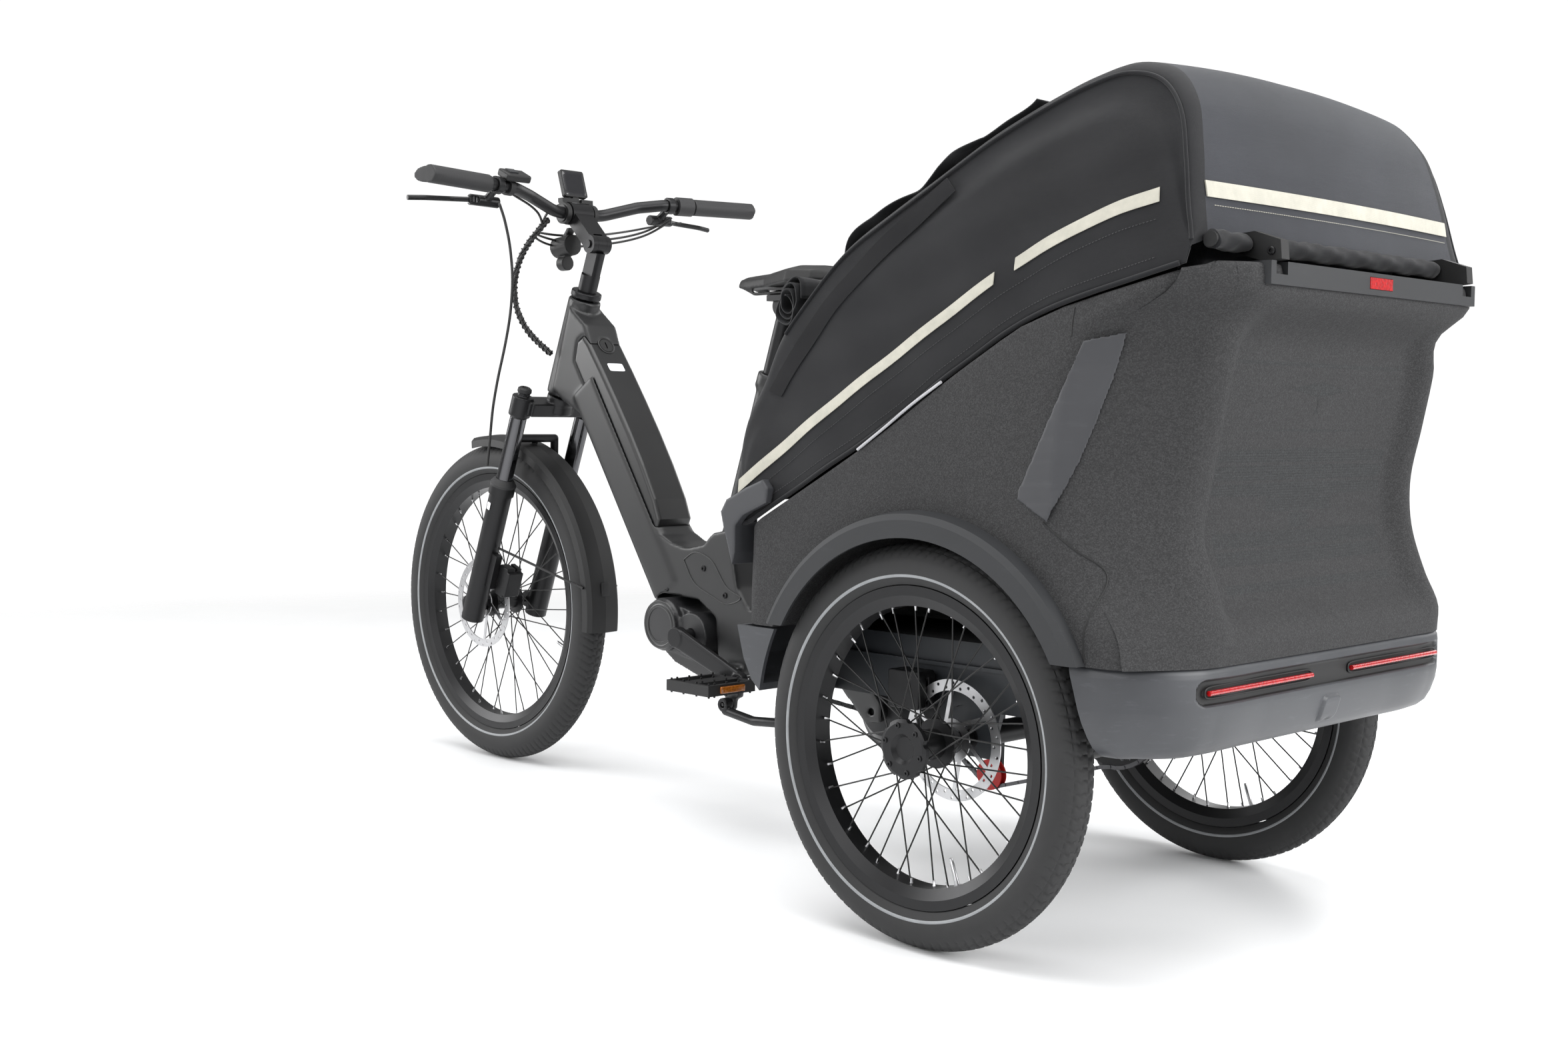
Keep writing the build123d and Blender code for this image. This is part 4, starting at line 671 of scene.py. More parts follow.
def tub_outline(z, inset=0.0):
    """Half plan outline of the tub at a height, front centre to rear centre, as (x, y) points."""
    rx, rh, sx, sh = (float(smooth_table(TUB[:, 0], TUB[:, k], z)) for k in (1, 2, 3, 4))
    front = -0.332 - inset
    corners = [
        ((front, 0.0), 0), ((front, sh - 0.034), 0.014), ((front - 0.026, sh - 0.003 - inset), 0.018),
        ((sx, sh - inset), 0.030),
        ((sx * 0.55 + rx * 0.45 + inset * 0.6, sh * 0.62 + rh * 0.38 - inset * 0.9), 0.040),
        ((rx + inset, rh - inset * 0.5), 0.030), ((rx + inset - 0.001, 0.0), 0),
    ]
    runs_before = {1: 8, 2: 3, 3: 26, 4: 9, 5: 9}
    points = []
    for k, (corner, radius) in enumerate(corners):
        p = np.array(corner)
        if k in (0, len(corners) - 1):
            points.append(tuple(p))
            continue
        before, after = np.array(corners[k - 1][0]), np.array(corners[k + 1][0])
        a = p + (before - p) / np.linalg.norm(before - p) * radius
        b = p + (after - p) / np.linalg.norm(after - p) * radius
        last = np.array(points[-1])
        for s in np.linspace(0, 1, runs_before[k] + 1)[1:-1]:
            points.append(tuple(last + (a - last) * s))
        for s in np.linspace(0, 1, 7):
            points.append(tuple((1 - s) ** 2 * a + 2 * s * (1 - s) * p + s**2 * b))
    last, end = np.array(points[-2]), np.array(points[-1])
    points = points[:-1] + [tuple(last + (end - last) * s) for s in np.linspace(0, 1, 40)[1:]]
    if inset > 0.001:
        return points
    # the rear panel lies back between two rounded pillars
    depth = REAR_RECESS * smooth_step(z, 0.424, 0.475) * (1 - smooth_step(z, 0.772, 0.826))
    rear = [(x + depth * (1 - smooth_step(y, rh - 0.058, rh - 0.014)), y) for x, y in points]
    return [far if near[0] < -0.9 else near for near, far in zip(points, rear)]


def flank_y(x, z):
    """Outer half width of the tub at a place on its side."""
    side = [p for p in tub_outline(z) if p[0] < -0.36 and p[1] > 0.24][::-1]
    return float(np.interp(x, [p[0] for p in side], [p[1] for p in side]))


def column_heights(col, z_low, rows, drop):
    """Heights of one column of the tub wall, from the floor up to the rim at its own place."""
    z = 0.7
    for _ in range(12):
        x = tub_outline(z, 0.0)[col][0]
        z = rim_z(x)
    top = z - drop
    return [z_low + (top - z_low) * t for t in np.linspace(0, 1, rows)]


def make_tub():
    """Foam box: outer wall, rounded rim, inner wall and floor, cut out for the wheels."""
    cols = len(tub_outline(0.6))
    rows = 42
    heights = [column_heights(c, TUB_BASE, rows, 0.004) for c in range(cols)]
    # outer wall, rounded rim, inner wall
    cache = {}

    def at(c, z, inset):
        key = (round(z, 5), inset)
        if key not in cache:
            cache[key] = tub_outline(z, inset)
        return cache[key][c]

    table = []
    for c in range(cols):
        column = []
        for z in heights[c]:
            x, y = at(c, z, 0.0)
            column.append((x, y, z))
        top = heights[c][-1]
        for inset, up in ((0.0015, 0.0028), (0.005, 0.004), (0.019, 0.004), (0.0225, 0.0028), (0.024, 0.0)):
            x, y = at(c, top, inset)
            column.append((x, y, top + up))
        for t in np.linspace(0, 1, 22)[1:]:
            z = top + (TUB_FLOOR - top) * t
            x, y = at(c, z, TUB_WALL)
            column.append((x, y, z))
        table.append(column)
    n = len(table[0])
    verts = []
    full = [(c, 1) for c in range(cols)] + [(c, -1) for c in range(cols - 2, 0, -1)]
    for c, side in full:
        for x, y, z in table[c]:
            verts.append((x, y * side, z))
    faces = grid_faces(len(full), n, close_rows=True)
    base = [i * n for i in range(len(full))]
    floor = [i * n + n - 1 for i in range(len(full))]
    faces.append(tuple(base[::-1]))
    faces.append(tuple(floor))
    tub = piece("tub_shell", verts, faces, "foam", "rear_chassis")
    flip_outward(tub)
    tub.data.materials.append(M["foam_rear"])
    # room for the rear wheels
    for side in (1, -1):
        cutter_mesh = bpy.data.meshes.new("well_cut")
        bm = bmesh.new()
        bmesh.ops.create_cone(bm, cap_ends=True, segments=128, radius1=WELL_R, radius2=WELL_R, depth=0.16,
                              matrix=Matrix.Translation((REAR_X, side * 0.382, REAR_R))
                              @ Matrix.Rotation(math.pi / 2, 4, "X"))
        bm.to_mesh(cutter_mesh)
        bm.free()
        cutter = linked("well_cut", cutter_mesh)
        mod = tub.modifiers.new("cut", "BOOLEAN")
        mod.operation = "DIFFERENCE"
        mod.solver = "EXACT"
        mod.object = cutter
        bpy.context.view_layer.update()
        apply_mods(tub)
        bpy.data.objects.remove(cutter)
    for poly in tub.data.polygons:
        c = poly.center
        if c.x < -0.99 and abs(c.y) < 0.205 and 0.42 < c.z < 0.835 and poly.normal.x < -0.6:
            poly.material_index = 1
    tub.data.shade_smooth()
    tub.data.set_sharp_from_angle(angle=math.radians(46))
    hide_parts("cargo_box")
    # wheel-well liners
    for side, tag in SIDES:
        low = math.asin((TUB_BASE - REAR_R) / WELL_R)
        verts = []
        rows = 60
        prof = [(0.381, 0.2868), (0.372, 0.2866), (0.306, 0.2866), (0.3035, 0.2842), (0.3035, 0.20),
                (0.300, 0.20), (0.279, 0.2866), (0.279, 0.311), (0.360, 0.311)]
        for a in np.linspace(low, math.pi - low, rows):
            for y, r in prof:
                z = max(REAR_R + r * math.sin(a), TUB_BASE)
                x = REAR_X + r * math.cos(a)
                verts.append((x, side * y, z))
        liner = piece("well_liner_" + tag, verts, grid_faces(rows, len(prof)), "foam", "rear_chassis")
        flip_outward(liner)
        liner.data.set_sharp_from_angle(angle=math.radians(50))


make_tub()


def tub_line(name, points, side, radius=0.0011, key="black", lift=0.0):
    """Thin bead or joint line lying on the side of the tub through (x, z) points."""
    line, _ = spline_points(points, 24)
    route = [(x, side * (flank_y(x, z) + lift), z) for x, z in line]
    tube(name, route, radius, key, "rear_chassis", sides=3)


def bumper_plan(s, inward):
    """Half plan of the tail, s from 0 in the middle to 1 at the wheel opening; inward pulls it in."""
    corner = [(-1.0435, 0.0), (-1.0435, 0.150), (-1.0435, 0.262), (-1.0385, 0.296), (-1.020, 0.331),
              (-0.985, 0.3625), (-0.948, 0.377), (-0.912, 0.3815)]
    line, _ = spline_points(corner, 81)
    k = min(79, int(s * 80))
    f = s * 80 - k
    x, y = line[k] * (1 - f) + line[k + 1] * f
    dx, dy = line[k + 1] - line[k]
    length = math.hypot(dx, dy)
    return x + dy / length * inward, y - abs(dx) / length * inward


# how far the tail's face lies inward over height, as (z, inward)
BUMPER_DROP = [(0.289, 0.046), (0.2905, 0.034), (0.295, 0.024), (0.303, 0.0145), (0.316, 0.0075),
               (0.333, 0.0020), (0.348, 0.0), (0.372, 0.0), (0.388, 0.0), (0.396, 0.0012), (0.400, 0.0045),
               (0.4015, 0.011)]
PANEL_Z, PANEL_HALF_Z, PANEL_HALF_Y = 0.371, 0.0165, 0.302


def bumper_drop(z):
    """How far the tail's face lies inward at a height."""
    return float(np.interp(z, [row[0] for row in BUMPER_DROP], [row[1] for row in BUMPER_DROP]))


def panel_depth(y, z):
    """Depth of the pill-shaped light panel sunk in the tail."""
    reach = math.hypot(max(0.0, abs(y) - (PANEL_HALF_Y - PANEL_HALF_Z)), z - PANEL_Z)
    return 0.0055 * (1 - smooth_step(reach, PANEL_HALF_Z - 0.0035, PANEL_HALF_Z + 0.0005))


def make_bumper():
    """Plastic tail with its sunk light panel, lamp frames and tow cover."""
    heights = [0.289, 0.2895, 0.2905, 0.2925, 0.295, 0.299, 0.303, 0.309, 0.316, 0.324, 0.333, 0.341, 0.348]
    heights += [0.348 + 0.0016 * k for k in range(1, 29)] + [0.395, 0.3975, 0.3995, 0.401, 0.4015]
    half = np.concatenate([np.linspace(0, 0.60, 70), np.linspace(0.61, 1.0, 56)])
    plan = [(s, 1) for s in half] + [(s, -1) for s in half[:0:-1]]
    verts = []
    for s, side in plan:
        for z in heights:
            x, y = bumper_plan(s, bumper_drop(z))
            x += panel_depth(y, z) if s < 0.93 else 0.0
            # the front edge leans back towards the bottom, behind the wheel
            lean = smooth_step(s, 0.80, 1.0) * (0.398 - z) * 0.30
            verts.append((x - lean, side * y, z))
    faces = grid_faces(len(plan), len(heights), close_rows=True)
    seam = len(half) - 1
    faces = [f for f in faces if not {f[0] // len(heights), f[2] // len(heights)} == {seam, seam + 1}]
    tail = piece("tail_shell", verts, faces, "bumper", "rear_chassis")
    flip_outward(tail)
    tail.data.materials.append(M["black"])
    for poly in tail.data.polygons:
        c = poly.center
        if panel_depth(c.y, c.z) > 0.0035 and c.x < -1.0:
            poly.material_index = 1
    thicken(tail, 0.003, -1)
    tail.data.shade_smooth()
    tail.data.set_sharp_from_angle(angle=math.radians(50))
    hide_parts("rear_bumper")
    for side, tag in SIDES:
        frame_line = []
        for k in range(40):
            a = 2 * math.pi * k / 40
            y = 0.167 + math.copysign(abs(math.cos(a)) ** 0.14, math.cos(a)) * 0.121
            z = PANEL_Z + math.copysign(abs(math.sin(a)) ** 0.6, math.sin(a)) * 0.0072
            frame_line.append((-1.0392, side * y, z))
        tube("lamp_frame_" + tag, frame_line, 0.0013, "black", "rear_chassis", True, 3)
    # cover of the tow eye: a cushioned square with a finger notch below it
    verts, rings = [], 12
    for r in range(rings + 1):
        reach = r / rings
        for k in range(48):
            a = 2 * math.pi * k / 48
            ca, sa = math.cos(a), math.sin(a)
            blunt = (abs(ca) ** 5 + abs(sa) ** 5) ** (-1 / 5)
            y, z = 0.023 * reach * blunt * ca, 0.3235 + 0.019 * reach * blunt * sa
            rise = 0.0042 * (1 - smooth_step(reach, 0.80, 1.0))
            notch = 0.004 * smooth_step(1 - abs(y) / 0.010, 0, 1) * smooth_step(0.313 - z, 0, 0.006)
            verts.append((-1.0435 + bumper_drop(z) - rise + notch + 0.0004, y, z))
    cover = piece("tow_cover", verts, grid_faces(rings + 1, 48, close_cols=True), "bumper", "rear_chassis")
    flip_outward(cover)


def make_chain(name, path, y, key, body):
    """Roller chain along a closed (x, z) path: oval side plates in pairs and the rollers between them."""
    pts = np.array(path + [path[0]], float)
    s = run_lengths(pts)
    count = int(round(s[-1] / 0.0127 / 2)) * 2
    pitch = s[-1] / count
    pins = [at_length(k * pitch, s, pts) for k in range(count)]
    verts, faces = [], []
    for k in range(count):
        a, b = pins[k], pins[(k + 1) % count]
        along = (b - a) / np.linalg.norm(b - a)
        up = np.array((-along[1], along[0]))
        offset = 0.0030 if k % 2 else 0.0021
        for side in (1, -1):
            start = len(verts)
            for out in (offset, offset + 0.0009):
                for c in range(16):
                    t = 2 * math.pi * c / 16
                    waist = 0.0040 * (1 - 0.28 * abs(math.sin(t)) ** 3)
                    centre = b if math.cos(t) > 0 else a
                    p = centre + along * 0.0040 * math.cos(t) + up * waist * math.sin(t)
                    verts.append((p[0], y + side * out, p[1]))
            faces += grid_faces(2, 16, close_cols=True, start=start)
            faces += [tuple(range(start, start + 16)), tuple(range(start + 31, start + 15, -1))]
        start = len(verts)
        for out in (-0.0040, 0.0040):
            for c in range(10):
                t = 2 * math.pi * c / 10
                radius = 0.0024
                verts.append((a[0] + radius * math.cos(t), y + out, a[1] + radius * math.sin(t)))
        faces += grid_faces(2, 10, close_cols=True, start=start)
        faces += [tuple(range(start, start + 10)), tuple(range(start + 19, start + 9, -1))]
    chain = piece(name, verts, faces, key, body, 40)
    flip_outward(chain)
    return chain


def arc_points(centre, radius, start, end, count):
    """Points on a circle from one angle to another, in degrees."""
    angles = np.radians(np.linspace(start, end, count))
    return [(centre[0] + radius * math.cos(a), centre[1] + radius * math.sin(a)) for a in angles]


CRANK = (JOINT["crank_spin"]["pos_m"][0], JOINT["crank_spin"]["pos_m"][2])
HUB = (JOINT["gear_hub_spin"]["pos_m"][0], JOINT["gear_hub_spin"]["pos_m"][2])
ROLLER = (JOINT["tensioner_spin"]["pos_m"][0], JOINT["tensioner_spin"]["pos_m"][2])

make_bumper()
for side, tag in SIDES:
    tub_line("joint_line_upper_" + tag, [(-0.889, 0.822), (-0.8885, 0.804), (-0.889, 0.788)], side)
    tub_line("joint_line_lower_" + tag, [(-0.866, 0.566), (-0.905, 0.536), (-0.943, 0.505), (-0.940, 0.470),
                                         (-0.934, 0.437), (-0.936, 0.404)], side)
drawcord = [(-0.553, 0.648), (-0.600, 0.678), (-0.645, 0.708), (-0.692, 0.736)]
tub_line("hem_drawcord", drawcord, 1, 0.0019, "cord", 0.0012)

# front chain round the chainring and the hub cog; rear chain from the hub, under the roller, to the axle cog
front_run = arc_points(CRANK, 0.0769, 100, -80, 30) + arc_points(HUB, 0.0446, -80, -260, 22)
front_chain = make_chain("front_chain_links", front_run, -0.056, "alloy", "front_frame")
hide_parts("drive_chain")
AXLE = (REAR_X, REAR_R)
rear_run = arc_points(HUB, 0.0425, 96, -30, 18)
rear_run += arc_points(ROLLER, 0.0205, -38, -118, 8) + arc_points(AXLE, 0.0835, 276, 96, 34)
rear_chain = make_chain("rear_chain_links", rear_run, -0.068, "chain", None)
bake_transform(rear_chain)

# ------------------------------------------------------------------ hood
# top line of the hood seen from the side as (x, z), front to rear, and its half width over height
HOOD_SIDE = [(-0.322, 0.571), (-0.307, 0.646), (-0.315, 0.690), (-0.346, 0.748), (-0.372, 0.806),
             (-0.420, 0.862), (-0.490, 0.928), (-0.556, 0.966), (-0.619, 1.000), (-0.737, 1.064),
             (-0.800, 1.091), (-0.862, 1.111), (-0.918, 1.119), (-0.965, 1.106), (-1.004, 1.064),
             (-1.022, 1.006), (-1.034, 0.940), (-1.043, 0.896)]
HOOD_WIDTH = [(0.53, 0.3695), (0.64, 0.362), (0.76, 0.351), (0.89, 0.337), (0.98, 0.322), (1.05, 0.306),
              (1.10, 0.290), (1.13, 0.284)]


def hood_width(z):
    """Half width of the hood at a height, without its slack."""
    return float(smooth_table([p[0] for p in HOOD_WIDTH], [p[1] for p in HOOD_WIDTH], z))


def ripple(x, z):
    """Slack of the side cloth: long shallow pulls towards the corners."""
    return (0.0016 * math.sin(21 * x + 13 * z + 0.6) * math.sin(9 * z - 11 * x)
            + 0.0009 * math.sin(47 * x - 31 * z) + 0.0006 * math.sin(83 * z + 29 * x + 2))


def side_y(x, z):
    """Distance of the hood's side cloth from the middle."""
    return hood_width(z) + ripple(x, z)


STATIONS = 132
EDGE, EDGE_T = spline_points(HOOD_SIDE, STATIONS)
CORNER_R = 0.030


def hem_point(t):
    """Lower edge of the side cloth for a station, front to rear, just above the tub's rim."""
    x = -0.330 + (-1.036 + 0.330) * min(1.0, t * 1.02)
    return np.array((x, rim_z(x) + 0.005))


def hood_point(i, v):
    """Point of the hood at station i; v runs -1 (right hem) .. 0 (middle) .. 1 (left hem)."""
    side = 1 if v >= 0 else -1
    v = abs(v)
    top = EDGE[i]
    tangent = EDGE[min(i + 1, STATIONS - 1)] - EDGE[max(i - 1, 0)]
    tangent /= np.linalg.norm(tangent)
    normal = np.array((tangent[1], -tangent[0]))
    if normal[0] * (top[0] + 0.72) + normal[1] * (top[1] - 0.8) < 0:
        normal = -normal
    hem = hem_point(EDGE_T[i])
    half = hood_width(top[1])
    top_share = 0.42
    if v <= top_share:
        s = v / top_share
        y = s * (half - CORNER_R)
        rear = min(1.0, max(0.0, (-0.70 - top[0]) / 0.12))
        crown = (0.011 * rear - 0.010 * (1 - rear)) * (1 - s**2)
        sag = 0.0012 * math.sin(34 * top[0] + 5 * y) * (1 - s)
        p = top + normal * (crown + sag)
        return (p[0], side * y, p[1])
    down = hem - top
    length = np.linalg.norm(down)
    turn = 0.14
    if v <= top_share + turn and length > CORNER_R * 1.5:
        a = (v - top_share) / turn * math.pi / 2
        y = half - CORNER_R + CORNER_R * math.sin(a)
        p = top + down / length * CORNER_R * (1 - math.cos(a)) * 0.8
        return (p[0], side * y, p[1])
    s = (v - top_share - turn) / (1 - top_share - turn)
    start = top + down / length * min(CORNER_R * 0.8, length * 0.3)
    p = start + (hem - start) * max(0.0, s)
    blend = min(1.0, s * 6)
    y = half * (1 - blend) + side_y(p[0], p[1]) * blend
    return (p[0], side * y, p[1])


def make_hood():
    """One continuous sheet over the bows: dark sides, lighter back panel, net over the window."""
    half = [0, 0.04, 0.08, 0.13, 0.18, 0.23, 0.28, 0.32, 0.36, 0.39, 0.42]
    half += [0.42 + 0.14 * k / 6 for k in range(1, 7)]
    half += [0.56 + 0.44 * k / 26 for k in range(1, 27)]
    vs = [-v for v in half[:0:-1]] + half
    verts = [hood_point(i, v) for i in range(STATIONS) for v in vs]
    cols = len(vs)
    faces = grid_faces(STATIONS, cols)
    hood = piece("hood_cloth", verts, faces, "hood", "hood")
    flip_outward(hood)
    hood.data.materials.append(M["hood_rear"])
    hood.data.materials.append(M["net"])
    for poly in hood.data.polygons:
        c = poly.center
        half_here = hood_width(c.z) - CORNER_R * 0.9
        if abs(c.y) < half_here and c.x < -0.93 and poly.normal.x < -0.12:
            poly.material_index = 1
        elif abs(c.y) < half_here - 0.03 and -0.68 < c.x < -0.40 and c.z > 0.8:
            poly.material_index = 2
    thicken(hood, 0.0016, -1)
    hood.data.shade_smooth()
    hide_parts("canopy_cover")
    return hood


hood = make_hood()


def on_side(x, z, lift=0.0, side=1):
    """Point on the hood's side cloth, or a little out from it."""
    return (x, side * (side_y(x, z) + lift), z)


def side_band(name, upper, lower, key, side, lift=0.0012, count=90):
    """Tape sewn on the side cloth between two lines of (x, z) points."""
    up, _ = spline_points(upper, count)
    lo, _ = spline_points(lower, count)
    verts = []
    for a, b in zip(up, lo):
        full = lift + 0.0002
        section = ((0.0, 0.0), (0.0, lift), (0.25, full), (0.5, full), (0.75, full), (1.0, lift), (1.0, 0.0))
        for s, out in section:
            p = a + (b - a) * s
            verts.append(on_side(p[0], p[1], out + 0.0004, side))
    cols = 7
    faces = grid_faces(count, cols)
    faces += [tuple(range(cols))[::-1], tuple(range((count - 1) * cols, count * cols))]
    band = piece(name, verts, faces, key, "hood", 50)
    flip_outward(band)


def stitches(name, points, body, lift_fn, pitch=0.0048, length=0.0030, size=0.00045, key="thread"):
    """Row of sewn stitches along a line; lift_fn puts each (x, z) point on the cloth."""
    pts = np.array([lift_fn(*p) for p in points])
    s = run_lengths(pts)
    count = int(s[-1] / pitch)
    verts, faces = [], []
    for k in range(count):
        a = (k + 0.5) * pitch
        ends = [at_length(a + d, s, pts) for d in (-length / 2, length / 2)]
        along = ends[1] - ends[0]
        along /= np.linalg.norm(along) + 1e-12
        sideways = (0.0, 1.0 if pts[0][1] > 0 else -1.0, 0.0)
        out = np.array(sideways if abs(along[1]) < 0.7 else (-1.0, 0.0, 0.0))
        up = np.cross(along, out)
        base = len(verts)
        for e in ends:
            for du, dv in ((-1, 0), (0, 1.2), (1, 0)):
                verts.append(e + up * du * size + out * dv * size)
        faces += [(base, base + 1, base + 4, base + 3), (base + 1, base + 2, base + 5, base + 4),
                  (base, base + 2, base + 1), (base + 3, base + 4, base + 5)]
    piece(name, verts, faces, key, body)


# upper and lower edges of the tapes sewn on the hood's side, as (x, z)
STRIP_1 = ([(-0.318, 0.602), (-0.470, 0.700), (-0.615, 0.789), (-0.759, 0.872)],
           [(-0.318, 0.583), (-0.470, 0.682), (-0.615, 0.772), (-0.759, 0.856)])
STRIP_2 = ([(-0.789, 0.888), (-0.835, 0.910), (-0.881, 0.928), (-0.935, 0.945), (-0.990, 0.957)],
           [(-0.789, 0.872), (-0.835, 0.893), (-0.881, 0.911), (-0.935, 0.928), (-0.992, 0.940)])
HOOK_STRIP = ([(-0.367, 0.727), (-0.420, 0.800), (-0.480, 0.862), (-0.560, 0.928), (-0.662, 0.999)],
              [(-0.393, 0.719), (-0.444, 0.786), (-0.500, 0.845), (-0.578, 0.908), (-0.680, 0.980)])
for side, tag in SIDES:
    side_band("side_strip_front_" + tag, *STRIP_1, "strip", side)
    side_band("side_strip_rear_" + tag, *STRIP_2, "strip", side)
    side_band("hook_strip_" + tag, *HOOK_STRIP, "velcro", side, 0.0014)
    hem_line = [hem_point(t) + np.array((0, 0.018)) for t in np.linspace(0.02, 0.93, 60)]
    stitches("hem_stitch_" + tag, hem_line, "hood", lambda x, z, s=side: on_side(x, z, 0.0004, s))
    low = [(x, z - 0.020) for x, z in spline_points(STRIP_1[1] + [(-0.775, 0.865)] + STRIP_2[1], 80)[0]]
    stitches("panel_stitch_" + tag, low, "hood", lambda x, z, s=side: on_side(x, z, 0.0004, s))
    # piped seam round the edge of the side panel
    seam = []
    for i in range(30, STATIONS, 2):
        x, y, z = hood_point(i, side * 0.53)
        seam.append((x, y + side * 0.0012, z))
    tube("seam_piping_" + tag, seam, 0.0026, "hood", "hood", sides=3)
    # bound hem
    hem = [on_side(*(hem_point(t) + np.array((0, 0.002))), 0.0006, side) for t in np.linspace(0, 0.97, 60)]
    tube("hem_binding_" + tag, hem, 0.0032, "hood", "hood", sides=3)


def rear_x(z, y):
    """Back panel of the hood: X at a height and a distance from the middle."""
    rows = [(EDGE[i][1], EDGE[i][0]) for i in range(STATIONS - 1, 0, -1) if EDGE[i][0] < -0.94]
    zs, xs = [r[0] for r in rows], [r[1] for r in rows]
    half = hood_width(z) - CORNER_R
    return float(np.interp(z, zs, xs)) - 0.011 * (1 - min(1.0, abs(y) / half) ** 2)


def make_rear_strip():
    """Reflective tape and its row of stitches across the back panel."""
    verts = []
    count = 80
    for y in np.linspace(-0.297, 0.297, count):
        for z, out in ((0.964, 0.0), (0.964, 0.0016), (0.955, 0.0018), (0.945, 0.0016), (0.945, 0.0)):
            verts.append((rear_x(z, y) - out - 0.0006, y, z))
    faces = grid_faces(count, 5) + [tuple(range(5))[::-1], tuple(range((count - 1) * 5, count * 5))]
    band = piece("rear_strip", verts, faces, "strip", "hood", 50)
    flip_outward(band)
    row = [(y, 0.936) for y in np.linspace(-0.29, 0.29, 60)]
    stitches("rear_stitch", row, "hood", lambda y, z: (rear_x(z, y) - 0.0008, y, z), key="strip")


make_rear_strip()


def make_flap():
    """Rain flap lying loose over the window, rolled up at its front end."""
    first_station, last_station = 28, 84
    rows, cols = 80, 41
    verts = []
    for r in range(rows):
        s = r / (rows - 1)
        i = first_station + (last_station - first_station) * s
        k = int(i)
        f = i - k
        for c in range(cols):
            v = (c / (cols - 1)) * 2 - 1
            reach = 0.292 + 0.007 * math.sin(17 * s + 1.5 * v) + 0.004 * math.sin(41 * s + 2)
            y = v * reach
            a = np.array(hood_point(k, 0.0)) * (1 - f) + np.array(hood_point(k + 1, 0.0)) * f
            tangent = np.array(hood_point(k + 1, 0.0)) - np.array(hood_point(k, 0.0))
            normal = np.array((tangent[2], 0, -tangent[0]))
            normal /= np.linalg.norm(normal)
            if normal[2] < 0:
                normal = -normal
            edge = abs(v) ** 3
            wave = 1.0 + 0.22 * math.sin(17 * s + (2.2 if v > 0 else 0.4)) + 0.16 * math.sin(36 * s + 2 * v)
            lift = 0.007 + 0.003 * (1 - abs(2 * s - 1)) + 0.009 * v**2 + edge * 0.0125 * wave * (1 - 0.6 * s)
            lift += 0.0026 * math.sin(19 * s + 6 * v) + 0.0018 * math.sin(37 * s - 11 * v)
            lift *= min(1.0, (1 - s) * 2.6 + 0.10)
            p = a + normal * lift
            verts.append((p[0], y, p[2]))
    flap = piece("rain_flap", verts, grid_faces(rows, cols), "hood", "hood")
    thicken(flap, 0.0022, 0)
    flip_outward(flap)
    flap.data.shade_smooth()
    # the roll
    turns, per, cols = 3.2, 40, 61
    count = int(turns * per)
    verts = []
    centre = (-0.345, 0.862)
    for k in range(count):
        a = 2 * math.pi * k / per
        grown = k / count
        for c in range(cols):
            v = c / (cols - 1) * 2 - 1
            reach = 0.300 + 0.008 * math.sin(a * 0.9 + (0 if v < 0 else 2)) - 0.004 * grown
            flare = 1 + 0.22 * abs(v) ** 8 * math.sin(2 * a + 1)
            r = (0.010 + 0.0250 * grown) * (1 + 0.07 * math.sin(5 * a + 7 * v) * grown) * flare
            r += 0.0009 * math.sin(23 * v + a)
            droop = -0.007 * v**2
            x, z = centre[0] + r * math.cos(a + 1.9), centre[1] + 0.93 * r * math.sin(a + 1.9) + droop
            verts.append((x, v * reach, z))
    roll = piece("flap_roll", verts, grid_faces(count, cols), "hood", "hood")
    thicken(roll, 0.0024, 0)
    flip_outward(roll)
    roll.data.shade_smooth()


make_flap()


